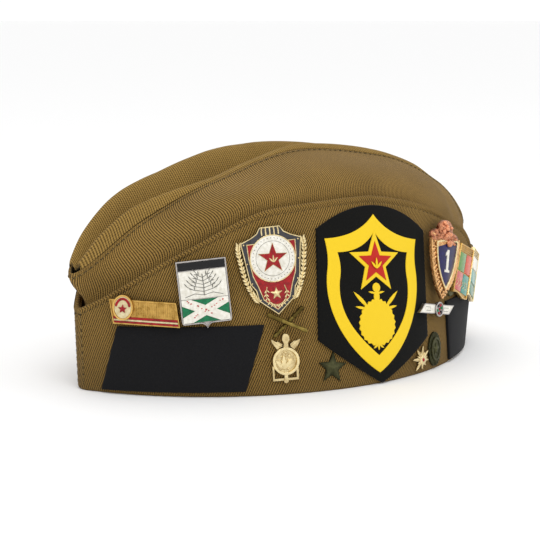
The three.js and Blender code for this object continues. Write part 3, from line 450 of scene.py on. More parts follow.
# Black wool felt of the tabs and of the patch's ground
def feltMaterial(name, light, dark):
    material = newMaterial(
        name, Roughness=0.95, Sheen_Weight=0.06, Sheen_Roughness=0.4, Specular_IOR_Level=0.12,
    )
    fuzz = noise(material, objectPlace(material), 1500, 4, 0.7)
    colour = blendColours(material, fuzz, linear(dark), linear(light))
    setSurface(material, Base_Color=colour, Normal=bumps(material, fuzz, 0.2, 0.8))
    return material


blackFelt = feltMaterial("black felt", "#1f1f21", "#0d0d0e")
patchFelt = feltMaterial("black patch felt", "#161614", "#080808")

# Shares of the outline where a column of points stands: closer together round the tips
band = {
    "backColumns": 14, "sideColumns": 170, "frontColumns": 30, "rows": 26, "edgeRows": 22, "edge": 7,
    "rounding": 1.25, "groove": 3.0, "grooveWide": 0.7, "grooveDeep": 0.45, "roll": 1.3, "rollHigh": 0.3,
}


def columnShares():
    arcs = planArcs(np.array(0.0))
    shares, start = [np.zeros(1)], 0.0
    for arc, count in zip(arcs, (band["backColumns"], band["sideColumns"], band["frontColumns"])):
        length = float(arc[2] * arc[3]) / halfOutline
        shares.append(start + length * np.arange(1, count + 1) / count)
        start += length
    joined = np.concatenate(shares)
    joined[-1] = 1
    return joined


shares = columnShares()


# How far the band's face stands out at a distance below its upper edge: a rolled edge over the
# groove of its stitching
def bandRelief(below):
    rolled = np.exp(-((below - band["roll"]) / band["roll"]) ** 2) * band["rollHigh"]
    groove = np.exp(-((below - band["groove"]) / band["grooveWide"]) ** 2) * band["grooveDeep"]
    return rolled - groove


def makeBand(name, mirror, node):
    top = bandTop(shares)[:, None]
    low = (top - band["edge"]) * np.linspace(0, 1, band["rows"])[:-1]
    heights = np.concatenate([low, top - band["edge"] * np.linspace(1, 0, band["edgeRows"])], 1)
    grid, normals = bandPoint(shares[:, None], heights, bandRelief(top - heights))
    grid[..., 1] = np.minimum(grid[..., 1], 0) - cap["clothGap"] / 2
    rings, lined = wallRings(grid, normals, cap["bandWall"], band["rounding"])
    rings[..., 1] = np.minimum(rings[..., 1], -cap["clothGap"] / 2)
    thing = ringObject(name, rings, lined, [bandTwill], mirror)
    return dress(thing, "twill", node)


flapRight = makeBand("flapRight", False, "flap_right")
flapLeft = makeBand("flapLeft", True, "flap_left")
print("band made")

crown = {"hiddenRows": 10, "rows": 40, "rounding": 0.4}


def makeCrownSide(side, mirror, node):
    up = np.concatenate([np.linspace(0, 1, crown["hiddenRows"])[:-1], np.linspace(1, 2, crown["rows"])])
    grid = crownSide(side, shares, up)
    normals = gridNormals(grid, levelFoot=True)
    rings, lined = wallRings(grid, normals, cap["crownWall"], crown["rounding"])
    rings[..., 1] = np.minimum(rings[..., 1], -cap["clothGap"] / 2)
    rings[..., 2] = np.maximum(rings[..., 2], 0)
    thing = ringObject("crown" + side, rings, lined, [crownTwill, lining], mirror)
    return dress(thing, "twill", node)


crownRight = makeCrownSide("Right", False, "crown_wall_right")
crownLeft = makeCrownSide("Left", True, "crown_wall_left")
print("crown sides made")

top = {"riseRows": 10, "dentRows": 26, "seamGap": 0.06}


# Half of the top's section at each column: from just past the seam, over the fold and down to
# the bottom of the dent
def topHalf(side, columns):
    rim = crownSide(side, columns, np.array([1.98, 2.0]))
    start = rim[:, 1] + unit(rim[:, 1] - rim[:, 0]) * top["seamGap"]
    at = bandPlace(columns)
    fold = ridgeEnd(at)
    fold[:, 1] *= cap["foldHalf"] / cap["ridgeHalf"]
    seam = fold[:, 2].copy()
    fold[:, 2] += cap["foldRise"] + cap["crownHeight"] * follow("swell" + side, at)
    corner = np.stack([start[:, 0], (start[:, 1] + fold[:, 1]) / 2, fold[:, 2]], -1)
    middle = seam + cap["foldRise"] - cap["topDent"] * (1 - np.abs(at) ** 3)
    rows = []
    for t in np.linspace(0, 1, top["riseRows"]):
        rows.append((1 - t) ** 2 * start + 2 * t * (1 - t) * corner + t * t * fold)
    for part in np.linspace(0, 1, top["dentRows"])[1:]:
        drop = (1 - math.cos(0.8 * math.pi * part)) / (1 - math.cos(0.8 * math.pi))
        height = fold[:, 2] + (middle - fold[:, 2]) * drop
        rows.append(np.stack([fold[:, 0], fold[:, 1] * (1 - part), height], -1))
    return np.stack(rows, 1)


def makeTop():
    columns = shares[np.abs(bandPlace(shares)) < cap["topReach"]]
    right, left = topHalf("Right", columns), topHalf("Left", columns)
    left[..., 1] *= -1
    grid = np.concatenate([right, left[:, -2::-1]], 1)
    normals = gridNormals(grid)
    rings, lined = wallRings(grid, normals, cap["crownWall"], crown["rounding"])
    return dress(ringObject("crownTop", rings, lined, [topTwill, lining]), "twill", "crown_top")


crownTop = makeTop()
print("top made")

# Flat pieces. A solid is (points, faces) in millimetres, x along the cap, y up and z outwards.

# Outline moved inwards, for one that runs round anticlockwise
def insetOutline(outline, distance):
    ways = unit(np.roll(outline, -1, 0) - outline)
    before = np.roll(ways, 1, 0)
    sideways = np.stack([-before[:, 1] - ways[:, 1], before[:, 0] + ways[:, 0]], -1)
    sharpness = 1 + (before * ways).sum(-1)
    return outline + sideways * (distance / np.maximum(sharpness, 0.12))[:, None]


def turnsLeft(outline):
    x, y = outline.T
    return (x * np.roll(y, -1) - np.roll(x, -1) * y).sum() > 0


# Faces round a tube of rings that follow one another
def belts(rings, sides):
    return [
        (low + k, low + (k + 1) % sides, low + sides + (k + 1) % sides, low + sides + k)
        for low in range(0, (rings - 1) * sides, sides) for k in range(sides)
    ]


# Plate with a rounded upper edge: the first outline is its edge and the others are holes in it
def slab(outlines, thick, base=0.0, rounding=0.2, steps=2):
    layers = [(0.0, base)]
    for k in range(steps + 1):
        turn = math.pi / 2 * k / steps
        layers.append((rounding * (1 - math.cos(turn)), base + thick - rounding * (1 - math.sin(turn))))
    points, faces, ends, count = [], [], {0: [], len(layers) - 1: []}, 0
    for i, given in enumerate(outlines):
        outline = np.array(given, float)
        if turnsLeft(outline) == (i > 0):
            outline = outline[::-1]
        size = len(outline)
        for level, (distance, height) in enumerate(layers):
            ring = insetOutline(outline, distance)
            points.extend([x, y, height] for x, y in ring)
            if level in ends:
                ends[level].append(range(count + level * size, count + (level + 1) * size))
        faces += [tuple(count + n for n in face) for face in belts(len(layers), size)]
        count += len(layers) * size
    for level, rings in ends.items():
        numbers = [n for ring in rings for n in ring]
        for triangle in tessellate_polygon([[Vector(points[n]) for n in ring] for ring in rings]):
            a, b, c = (numbers[k] for k in triangle)
            (ax, ay, _), (bx, by, _), (cx, cy, _) = points[a], points[b], points[c]
            upwards = (bx - ax) * (cy - ay) - (by - ay) * (cx - ax) > 0
            faces.append((a, b, c) if upwards == (level > 0) else (c, b, a))
    return np.array(points), faces


# Star or other outline whose faces rise to a peak in its middle
def peaked(outline, edge, rise, base=0.0, peak=(0, 0)):
    outline = np.array(outline, float)
    if not turnsLeft(outline):
        outline = outline[::-1]
    size = len(outline)
    points = [[x, y, base] for x, y in outline] + [[x, y, base + edge] for x, y in outline]
    points += [[peak[0], peak[1], base + edge + rise], [peak[0], peak[1], base]]
    faces = belts(2, size)
    for k in range(size):
        after = (k + 1) % size
        faces += [(size + k, size + after, 2 * size), (after, k, 2 * size + 1)]
    return np.array(points), faces


# Rounded boss over an oval
def dome(width, height, rise, base=0.0, x=0.0, y=0.0, sides=24, rings=5):
    points = []
    for level in range(rings):
        turn = math.pi / 2 * level / rings
        for k in range(sides):
            angle = 2 * math.pi * k / sides
            points.append([
                x + width / 2 * math.cos(turn) * math.cos(angle),
                y + height / 2 * math.cos(turn) * math.sin(angle), base + rise * math.sin(turn),
            ])
    points.append([x, y, base + rise])
    last = (rings - 1) * sides
    faces = belts(rings, sides) + [(last + k, last + (k + 1) % sides, rings * sides) for k in range(sides)]
    faces.append(tuple(range(sides))[::-1])
    return np.array(points), faces


# Round bar along a line of points, with rounded ends
def bar(path, radius, sides=12, flatten=1.0):
    path = np.array(path, float)
    ways = unit(np.gradient(path, axis=0))
    ends = [(0, -1, math.radians(a)) for a in (80, 45)] + [(i, 0, 0) for i in range(len(path))]
    ends += [(len(path) - 1, 1, math.radians(a)) for a in (45, 80)]
    points = []
    for i, side, turn in ends:
        flatWay = unit(np.cross(ways[i], [0, 0, 1]) + 1e-9)
        rise = np.cross(flatWay, ways[i])
        middle = path[i] + ways[i] * side * radius * math.sin(turn)
        for k in range(sides):
            angle = 2 * math.pi * k / sides
            reach = radius * math.cos(turn)
            points.append(middle + reach * (math.cos(angle) * flatWay + math.sin(angle) * rise * flatten))
    faces = [(a, d, c, b) for a, b, c, d in belts(len(ends), sides)]
    faces.append(tuple(range(sides)))
    faces.append(tuple(range((len(ends) - 1) * sides, len(ends) * sides))[::-1])
    return np.array(points), faces


# Points of smooth curves through given ones, as far round as a closed outline
def smooth(corners, steps=6, closed=True):
    corners = np.array(corners, float)
    if closed:
        ring = np.concatenate([corners[-1:], corners, corners[:2]])
    else:
        ring = np.concatenate([2 * corners[:1] - corners[1:2], corners, 2 * corners[-1:] - corners[-2:-1]])
    rows = []
    for i in range(1, len(ring) - 2):
        a, b, c, d = ring[i - 1:i + 3]
        for t in np.arange(steps) / steps:
            rows.append(0.5 * (2 * b + (c - a) * t + (2 * a - 5 * b + 4 * c - d) * t**2
                               + (3 * b - a - 3 * c + d) * t**3))
    if not closed:
        rows.append(ring[-2])
    return np.array(rows)


# Points along curves given as in a drawing: (corner) or (handle, ..., end)
def drawn(start, *pieces, steps=10):
    points = [np.array(start, float)]
    for piece in pieces:
        handles = [points[-1], *(np.array(p, float) for p in piece)]
        if len(handles) == 2:
            points.append(handles[1])
            continue
        for t in np.arange(1, steps + 1) / steps:
            level = handles
            while len(level) > 1:
                level = [a + (b - a) * t for a, b in zip(level, level[1:])]
            points.append(level[0])
    if np.linalg.norm(points[-1] - points[0]) < 1e-6:
        points.pop()
    return np.array(points)


def oval(width, height, x=0.0, y=0.0, sides=40):
    turn = 2 * math.pi * np.arange(sides) / sides
    return np.stack([x + width / 2 * np.cos(turn), y + height / 2 * np.sin(turn)], -1)


def star(radius, waist=0.382, x=0.0, y=0.0, turn=0.0, arms=5):
    angle = math.pi / 2 + math.pi * np.arange(2 * arms) / arms + math.radians(turn)
    reach = np.where(np.arange(2 * arms) % 2 == 0, radius, radius * waist)
    return np.stack([x + reach * np.cos(angle), y + reach * np.sin(angle)], -1)


# Bends flat points round the band: slope tips their level lines and lean their upright ones
def bender(place, lift):
    def bend(points):
        x, y, z = points.T
        share = place["along"] + (x + place["lean"] * y) / halfOutline
        height = place["up"] * cap["bandHeight"] + y + place["slope"] * x
        return bandPoint(share, height, lift + z)[0]
    return bend


# One object from several solids. place turns flat points into points on the cap, and a piece
# that bends is first cut into narrow strips.
def flatObject(name, solids, material, place, strips=0.0, flatAngle=35):
    points, faces, count = [], [], 0
    for solidPoints, solidFaces in solids:
        points.append(solidPoints)
        faces += [tuple(int(n) + count for n in face) for face in solidFaces]
        count += len(solidPoints)
    mesh = bpy.data.meshes.new(name)
    mesh.from_pydata(np.concatenate(points).tolist(), [], faces)
    if strips:
        shape = bmesh.new()
        shape.from_mesh(mesh)
        x = [v.co.x for v in shape.verts]
        for cut in np.arange(min(x) + strips, max(x) - strips / 2, strips):
            bmesh.ops.bisect_plane(
                shape, geom=[*shape.verts, *shape.edges, *shape.faces],
                plane_co=(cut, 0, 0), plane_no=(1, 0, 0),
            )
        shape.to_mesh(mesh)
        shape.free()
    co = np.zeros(len(mesh.vertices) * 3)
    mesh.vertices.foreach_get("co", co)
    flat = co.reshape(-1, 3)
    placed = (place(flat) + shift) * mm
    clothMap(mesh, flat[:, :2])
    mesh.vertices.foreach_set("co", placed.ravel())
    raised = mesh.attributes.new("raised", "FLOAT", "POINT")
    tops = flat[:, 2]
    raised.data.foreach_set("value", (tops - tops.min()) / max(float(np.ptp(tops)), 1e-3))
    mesh.materials.append(material)
    mesh.shade_smooth()
    mesh.set_sharp_from_angle(angle=math.radians(flatAngle))
    mesh.update()
    return linked(name, mesh)


tabs = {
    "height": 30.2, "length": 68, "wall": 1.2,
    "tabBack": {"node": "tab_back", "along": 0.178, "up": 0.195, "slope": 0.012, "lean": 0, "skew": 0.29},
    "tabFront": {"node": "tab_front", "along": 0.836, "up": 0.184, "slope": -0.012, "lean": 0, "skew": -0.2},
}


def makeTab(name):
    place = tabs[name]
    half, tall = tabs["length"] / 2, tabs["height"] / 2
    drift = place["skew"] * tall
    outline = [(-half - drift, -tall), (half - drift, -tall), (half + drift, tall), (drift - half, tall)]
    solid = slab([outline], tabs["wall"], rounding=0.45, steps=3)
    thing = flatObject(name, [solid], blackFelt, bender(place, cap["clothGap"]), strips=2)
    return dress(thing, "black_cloth", place["node"])


tabPieces = [makeTab(name) for name in ("tabBack", "tabFront")]

patch = {
    "width": 68.8, "height": 84, "wall": 1.4, "frame": 6.5, "print": 0.5, "starRadius": 15.5, "starEdge": 5.2,
    "sprayHeight": 22.8, "sprayWidth": 22.4, "sprayTeeth": 24, "printShift": 1.6,
    "along": 0.5184, "up": 0.4775, "slope": -0.09, "lean": -0.045,
}


# Thick plastic print on the patch: its surface is slightly wavy
def printMaterial(name, colour):
    material = newMaterial(name, Base_Color=linear(colour), Roughness=0.6, Specular_IOR_Level=0.25)
    waves = noise(material, objectPlace(material), 700, 3)
    setSurface(material, Normal=bumps(material, waves, 0.2, 0.35))
    return material


yellowPrint = printMaterial("yellow plastic print", "#e6c21a")
redPrint = printMaterial("red plastic print", "#b42012")


def patchOutline():
    wide, tall = patch["width"], patch["height"]
    return drawn(
        (-0.475 * wide, 0.357 * tall), [(-0.5 * wide, -0.257 * tall)],
        [(-0.27 * wide, -0.39 * tall), (0, -0.5 * tall)],
        [(0.27 * wide, -0.39 * tall), (0.5 * wide, -0.257 * tall)],
        [(0.475 * wide, 0.357 * tall)], [(0.24 * wide, 0.5 * tall), (0, 0.5 * tall)],
        [(-0.24 * wide, 0.5 * tall), (-0.475 * wide, 0.357 * tall)],
    )


# One edge of the border: horned at its top corners and pointed at its tip
def borderOutline(inset):
    wide, tall = patch["width"], patch["height"]
    hornX, hornY = 0.4 * wide - inset, 0.31 * tall - 0.95 * inset
    sideX, sideY = 0.393 * wide - inset, 0.12 * tall - 0.5 * inset
    apex, tip = 0.452 * tall - 1.25 * inset, 1.26 * inset - 0.438 * tall
    waistX, waistY = sideX - 0.025 * wide, 0.5 * (hornY + sideY)
    dip = 0.5 * (hornY + apex) - 0.055 * tall
    return drawn(
        (-hornX, hornY), [(-waistX, waistY), (-sideX, sideY)],
        [(-sideX * 1.1, -0.1 * tall), (-sideX * 0.66, tip + 0.12 * tall), (0, tip)],
        [(sideX * 0.66, tip + 0.12 * tall), (sideX * 1.1, -0.1 * tall), (sideX, sideY)],
        [(waistX, waistY), (hornX, hornY)], [(0.33 * hornX, dip), (0, apex)],
        [(-0.33 * hornX, dip), (-hornX, hornY)], steps=20,
    )


def leafOutline(length, width, angle, x=0.0, y=0.0):
    turn = math.radians(angle)
    along, side = np.array([math.sin(turn), math.cos(turn)]), np.array([math.cos(turn), -math.sin(turn)])
    foot = np.array([x, y])
    tip, middle = foot + along * length, foot + along * length * 0.45
    return drawn(foot, [middle - side * width, tip], [middle + side * width, foot], steps=8)


# Egg-shaped leaf with teeth all round, broader below its middle
def toothedLeaf(y):
    teeth = patch["sprayTeeth"]
    turn = math.pi * np.arange(2 * teeth) / teeth
    reach = np.where(np.arange(2 * teeth) % 2, 0.93, 1)
    x = -0.5 * patch["sprayWidth"] * reach * np.sin(turn) * (1 - 0.1 * np.cos(turn))
    return np.stack([x, y + 0.5 * patch["sprayHeight"] * reach * np.cos(turn)], -1)


# Small leaves round it, as shares of its height: (long, wide, x, y) and their turn in degrees
sprayLeaves = [
    (0.22, 0.045, 0, 0.6, 80), (0.5, 0.085, 0.22, 0.3, 47), (0.3, 0.06, 0.26, 0.28, 80),
    (0.17, 0.05, 0, -0.44, 126),
]


# Three leaves from one foot
def sprig(length, width, x, y, thick, base):
    leaves = []
    for k in (-1, 0, 1):
        outline = leafOutline(length * (1 - 0.12 * abs(k)), width, 42 * k, x, y)
        leaves.append(slab([outline], thick + 0.06 * (1 - abs(k)), base, 0.1))
    return leaves


def makePatch():
    starY = 0.18 * patch["height"]
    printLift = patch["wall"] + 2 * cap["clothGap"]
    backing = slab([patchOutline()], patch["wall"], rounding=0.4, steps=3)
    ground = flatObject("patchBacking", [backing], patchFelt, bender(patch, cap["clothGap"]), strips=2)
    dress(ground, "black_cloth", "patch_backing")
    printed = patch | {"along": patch["along"] - patch["printShift"] / halfOutline}
    onPatch = bender(printed, printLift - patch["print"])
    border = slab([borderOutline(0), borderOutline(patch["frame"])], patch["print"])
    edge = slab([star(patch["starRadius"], 0.42, y=starY)], patch["print"] + 0.12)
    thing = flatObject("patchBorder", [border, edge], yellowPrint, onPatch, strips=2)
    dress(thing, "yellow_print", "patch_border")
    inner = slab([star(patch["starRadius"] - patch["starEdge"], 0.42, y=starY)], 0.4)
    thing = flatObject("patchStar", [inner], redPrint, bender(printed, printLift), strips=2)
    dress(thing, "red_print", "patch_star")
    middle, tall = -0.155 * patch["height"], patch["sprayHeight"]
    solids = [
        slab([toothedLeaf(middle)], patch["print"] + 0.08), slab(
            [leafOutline(0.14 * tall, 0.05 * tall, 180, 0, middle - 0.44 * tall)], patch["print"],
        ),
        slab([oval(0.15 * tall, 0.28 * tall, 0, middle + 0.53 * tall)], patch["print"]),
        slab([oval(0.2 * tall, 0.2 * tall, 0, middle + 0.72 * tall)], patch["print"] + 0.04),
    ]
    for long, wide, x, y, turn in sprayLeaves:
        for way in (-1, 1):
            outline = leafOutline(long * tall, wide * tall, way * turn, way * x * tall, middle + y * tall)
            solids.append(slab([outline], patch["print"] - 0.04))
    solids += sprig(5.2, 1.1, 0, starY - 2.6, 0.3, patch["print"] + 0.75)
    thing = flatObject("patchSpray", solids, yellowPrint, onPatch, strips=2)
    dress(thing, "yellow_print", "patch_spray")
    return ground


patchBacking = makePatch()
print("tabs and patch made")

# Pins. Their shapes are in millimetres in a pin's own plane: x to the cap's front, y up, z out.
pinSizes = {"plate": 1.3, "rim": 0.6, "enamel": 0.5, "sunk": 0.4}
overTab = tabs["wall"] + cap["clothGap"]
overPlate = overTab + pinSizes["plate"] + pinSizes["rim"] + cap["clothGap"]
plateTop = pinSizes["plate"]
enamelTop = plateTop + pinSizes["enamel"]


# Turns points in a pin's plane into points on the cap. along is a share of the outline and up of
# the band's height, turn is in degrees, and over is what the pin's back clears besides the band.
def pinFrame(place):
    height, share = np.array(place["up"] * cap["bandHeight"]), np.array(place["along"])
    origin = bandPoint(share, height)[0]
    ahead, behind = (bandPoint(share + way / halfOutline, height)[0] for way in (1, -1))
    along = unit(ahead - behind)
    out = unit(np.cross(along, bandPoint(share, height + 1)[0] - origin))
    up = np.cross(out, along)
    turn = math.radians(place["turn"])
    axes = np.stack([
        along * math.cos(turn) + up * math.sin(turn), up * math.cos(turn) - along * math.sin(turn), out,
    ])
    lift = np.array([0, 0, cap["clothGap"] + place["over"]])
    return lambda points: origin + (points + lift) @ axes


# Stamped metal: bright where it is worn, dull in its hollows and in cloudy patches. On the
# coppery finishes the strong bright and dull tones are also painted highlights and painted shade
def metalMaterial(name, wornAndHighlit, dullAndShaded, roughness, grain=0.25, cloudiness=1.8):
    material = newMaterial(name, Metallic=1.0)
    place = objectPlace(material)
    clouds = noise(material, place, 420, 5, 0.65)
    raised = addNode(material, "ShaderNodeAttribute", output="Fac", attribute_name="raised")
    cloudy = contrasted(material, clouds, cloudiness, 0.1)
    share = compute(material, "MULTIPLY_ADD", raised, 0.85, cloudy)
    setSurface(
        material, Base_Color=blendColours(material, share, linear(dullAndShaded), linear(wornAndHighlit)),
        Roughness=compute(material, "MULTIPLY_ADD", clouds, 0.3, roughness - 0.15),
        Normal=bumps(material, noise(material, place, 2200, 3), grain, 0.6),
    )
    return material


# Glass-hard enamel: glossy, a little uneven in colour, with fine pits
def enamelMaterial(name, light, dark, roughness=0.22):
    material = newMaterial(
        name, Roughness=roughness, Coat_Weight=0.12, Coat_Roughness=0.1, Specular_IOR_Level=0.25,
    )
    clouds = noise(material, objectPlace(material), 650, 4)
    colour = blendColours(material, contrasted(material, clouds, 2.4, 0.6), linear(dark), linear(light))
    setSurface(material, Base_Color=colour, Normal=bumps(material, clouds, 0.2, 0.25))
    return material


# What a pin's parts are made of: the material and its slot
finishes = {
    "gilt": (metalMaterial("worn gilt", "#deb566", "#8a6526", 0.3), "gilt"),
    "paleGilt": (metalMaterial("pale gilt", "#ecd9a6", "#937541", 0.26), "gilt"),
    # Coppery finishes: their bright tone is partly a painted highlight and their dull tone partly painted
    # shade, besides real wear
    "copperGilt": (metalMaterial("coppery gilt with painted highlights", "#eebc80", "#6a3813", 0.24, 0.5, 2.4), "gilt"),
    "copper": (metalMaterial("gilded copper with painted highlights", "#e39b74", "#552311", 0.24, 0.5, 2.4), "gilt"),
    "steel": (metalMaterial("nickel plate", "#b9b4b0", "#5a5653", 0.3), "steel"),
    "slate": (metalMaterial("dark slate plate", "#4a494c", "#19181b", 0.4), "steel"),
    "rod": (metalMaterial("olive lacquered brass", "#8d7a3f", "#352d12", 0.42), "rod_olive"),
    "darkRod": (metalMaterial("tarnished brass", "#6b5a2c", "#2b230f", 0.5), "rod_olive"),
    "darkOlive": (metalMaterial("dark green lacquer on brass", "#55553a", "#1f2015", 0.5), "dark_olive"),
    "greyOlive": (metalMaterial("grey-olive lacquer", "#7a7758", "#35341f", 0.55), "dark_olive"),
    "white": (enamelMaterial("white enamel", "#e9e6dc", "#cfcabb"), "white_enamel"),
    "cream": (enamelMaterial("cream enamel", "#ddd0a8", "#bba877"), "white_enamel"),
    "red": (enamelMaterial("red enamel", "#a31218", "#6d0a10"), "red_enamel"),
    "rose": (enamelMaterial("rose enamel", "#c95b52", "#a3413f"), "red_enamel"),
    "coral": (enamelMaterial("coral enamel", "#d0573a", "#b1452c"), "red_enamel"),
    "green": (enamelMaterial("green enamel", "#0b7448", "#075434"), "green_enamel"),
    "grass": (enamelMaterial("grass-green enamel", "#5b8f3c", "#47752f"), "green_enamel"),
    "teal": (enamelMaterial("teal enamel", "#4f9a8a", "#2f6d63"), "green_enamel"),
    "black": (enamelMaterial("black enamel", "#0e0e10", "#060607", 0.4), "black_enamel"),
    "blue": (enamelMaterial("blue enamel", "#120a52", "#0a0636", 0.3), "blue_enamel"),
    "grey": (enamelMaterial("grey enamel", "#77766f", "#55544e"), "steel"),
}


# Parts of one pin. Each row of parts is a name, a finish, solids and the CAD nodes that it stands for.
def makePin(name, place, parts):
    put = pinFrame(place)
    for part, finish, solids, nodes in parts:
        material, slot = finishes[finish]
        dress(flatObject(name + part, solids, material, put), slot, *nodes)


# Raised frame between an outline and a smaller one, with its foot sunk in the plate
def frameSolid(outer, inner, height=0.6, base=plateTop, rounding=0.2):
    return slab([outer, inner], height + pinSizes["sunk"], base - pinSizes["sunk"], rounding)


# Raised line along points
def wire(points, width=0.5, base=plateTop, flatten=0.8):
    path = np.array(points, float)
    return bar(np.column_stack([path, np.full(len(path), base)]), width / 2, sides=8, flatten=flatten)


def box(left, right, low, high):
    return [(left, low), (right, low), (right, high), (left, high)]


def block(left, right, low, high, thick=0.5, base=plateTop, rounding=0.12):
    return slab([box(left, right, low, high)], thick, base, rounding)


barPin = {
    "along": 0.1225, "up": 0.438, "turn": -2.2, "over": overTab,
    "half": 15.7, "tall": 5.7, "lean": 1.14, "medal": (-10, 2.1), "medalWide": 9.6, "medalTall": 11.8,
    "stripes": (-2.25, -3.3, -4.25, -5.2), "ribStart": -4.4, "ribEnd": 14.6, "ribStep": 0.85,
}


def makeBarPin():
    half, tall, lean, enamel = barPin["half"], barPin["tall"], barPin["lean"], pinSizes["enamel"]

    def plate(inset):
        wide, high = half - inset, tall - inset
        return [(lean - wide, -high), (wide + lean, -high), (wide - lean, high), (-wide - lean, high)]

    x, y = barPin["medal"]
    wide, high = barPin["medalWide"], barPin["medalTall"]
    top = plateTop + 2 * pinSizes["rim"]
    ribs = [
        block(left, left + 0.5, -1.6, tall - 0.9, 0.3, rounding=0.12)
        for left in np.arange(barPin["ribStart"], barPin["ribEnd"] - lean, barPin["ribStep"])
    ]
    lines = barPin["stripes"]

    def stripe(high, low):
        skew = lean / tall
        return slab([[
            (-half + 0.7 - skew * low, low), (half - 0.7 - skew * low, low),
            (half - 0.7 - skew * high, high), (-half + 0.7 - skew * high, high),
        ]], enamel, plateTop)

    arc = [(x + 0.33 * wide * math.cos(a), y + 0.34 * high * math.sin(a)) for a in np.linspace(0.25, 2.9, 16)]
    makePin("barPin", barPin, [
        ("Plate", "gilt", [
            slab([plate(0)], plateTop, rounding=0.25), frameSolid(plate(0), plate(pinSizes["rim"])), *ribs,
            slab([oval(wide, high, x, y)], top, rounding=0.3), frameSolid(
                oval(wide, high, x, y), oval(wide - 1.5, high - 1.5, x, y), 0.5, top,
            ),
        ], ["bar_badge"]),
        ("Stripes", "red", [stripe(lines[0], lines[1]), stripe(lines[2], lines[3])], []),
        ("MiddleStripe", "cream", [stripe(lines[1] - 0.1, lines[2] + 0.1)], []),
        ("Medallion", "cream", [slab([oval(wide - 1.7, high - 1.7, x, y)], 0.3, top - 0.05)], []),
        ("Ribbon", "red", [wire(arc, 1.2, top + 0.25, 0.5)], []),
        ("Star", "red", [
            peaked(star(2.2, 0.45, x, y - 0.6), 0.3, 0.45, top + 0.25, (x, y - 0.6)),
        ], ["bar_star"]),
    ])


townPin = {
    "along": 0.2154, "up": 0.545, "turn": 6, "over": overTab, "width": 23, "height": 30.4,
    "speckles": 26, "speckleSeed": 4,
}


# Square-shouldered shield with a small point at its foot
def townOutline(inset):
    wide, tall = townPin["width"], townPin["height"]
    half, top, foot = wide / 2 - inset, tall / 2 - inset, inset - 0.46 * tall
    side = [(0.14 * wide, foot), (half - 0.05 * wide, foot), (half, foot), (half, foot + 0.07 * tall)]
    return drawn(
        (-half, top), [(-half, side[3][1])], [(-half, foot), (-side[1][0], foot)], [(-side[0][0], foot)],
        [(-0.04 * wide, foot), (0, foot - 0.08 * tall)], [(0.04 * wide, foot), side[0]],
        [side[1]], [side[2], side[3]], [(half, top)], steps=6,
    )


def makeTownPin():
    wide, tall = townPin["width"], townPin["height"]
    half, top = wide / 2 - pinSizes["rim"] - 0.15, tall / 2 - pinSizes["rim"] - 0.15
    headerLow, greenTop, greenLow = top - 0.125 * tall, -0.085 * tall, -0.435 * tall
    arm = 0.19 * wide

    def band(way):
        return [
            (-way * half, greenLow), (way * (arm - half), greenLow), (way * half, greenTop - 0.6 * arm),
            (way * half, greenTop), (way * (half - arm), greenTop), (-way * half, greenLow + 0.6 * arm),
        ]

    rng = np.random.default_rng(townPin["speckleSeed"])
    speckles = []
    for k in range(townPin["speckles"]):
        part, way = rng.uniform(0.06, 0.94), 1 if k % 2 else -1
        x = way * half * (2 * part - 1) * 0.9
        y = greenLow + (greenTop - greenLow) * part + rng.uniform(-0.5, 0.5)
        speckles.append(slab([oval(0.8, 0.55, x, y, 8)], 0.12, enamelTop + 0.38, 0.05))
    middle = 0.5 * (greenTop + headerLow)
    ground = [
        (-8.6, middle - 5.4), (-4.2, middle - 4.1), (0, middle - 5), (4.2, middle - 4.1),
        (8.6, middle - 5.4),
    ]
    twig = [
        wire(ground, 0.3, enamelTop),
        wire([(0, middle - 5), (0.2, middle - 1), (0, middle + 4.6)], 0.45, enamelTop),
    ]
    for k in range(5):
        foot, reach = middle - 3.4 + 1.6 * k, 7.4 - 1.1 * k
        for way in (1, -1):
            end = (way * reach, foot + 2.7)
            twig.append(wire([(0, foot), (way * reach * 0.6, foot + 1), end], 0.3, enamelTop))
            for part, turn in ((1, 35), (0.62, 75), (0.55, 5)):
                spot = (end[0] * part, foot + 2.7 * part**1.6)
                twig.append(slab([leafOutline(2.1, 0.42, way * turn, *spot)], 0.16, enamelTop, 0.06))
    makePin("townPin", townPin, [
        ("Plate", "steel", [
            slab([townOutline(0)], plateTop, rounding=0.25),
            frameSolid(townOutline(0), townOutline(pinSizes["rim"])),
            *(block(-half, half, y - 0.15, y + 0.15, 0.6, rounding=0.1) for y in (headerLow, greenTop)),
        ], ["shield_badge"]),
        ("Header", "black", [block(-half, half, headerLow + 0.2, top)], ["shield_header"]),
        ("Field", "white", [block(-half, half, greenTop + 0.2, headerLow - 0.2)], ["shield_field"]),
        ("Sprig", "grey", twig, []),
        ("Green", "green", [block(-half, half, greenLow, greenTop - 0.2)], ["shield_green"]),
        ("Saltire", "white", [
            slab([band(way)], 0.42 + 0.05 * way, enamelTop) for way in (1, -1)
        ], ["shield_saltire"]),
        ("Speckles", "rose", speckles, []),
    ])


meritPin = {
    "along": 0.3266, "up": 0.648, "turn": 4.7, "over": 0, "disc": 11, "discY": 5.5, "grains": 21,
    "outer": [
        (4.8, 20.2), (5.6, 19.1), (6.6, 17.5), (9.6, 15.8), (14.6, 13.9), (13.6, 7), (12, -5),
        (9.5, -8.6), (8.6, -13.4),
    ],
    "inner": [(11.3, 12.7), (11.1, 6.5), (9.9, -1.7), (8, -6.5), (6, -12.9)],
    "wheat": [(15.4, 12.6), (15.7, 9.4), (14.9, 3.5), (13.8, -2.6), (11.7, -8.4), (9.6, -12.4), (8.4, -14.2)],
    "rivets": [(13, 13), (12.3, 4.2), (10.9, -5), (7.7, -13)],
    "wreath": [(-4.2, -7.4), (-5, -11), (-3.2, -14.6), (0, -15.9), (3.2, -14.6), (5, -11), (4.2, -7.4)],
}


# Both halves of an outline from its right one, from the top down, and its tip
def bothSides(right, tip):
    return np.array([(0, tip), *right[::-1], *[(-x, y) for x, y in right]], float)


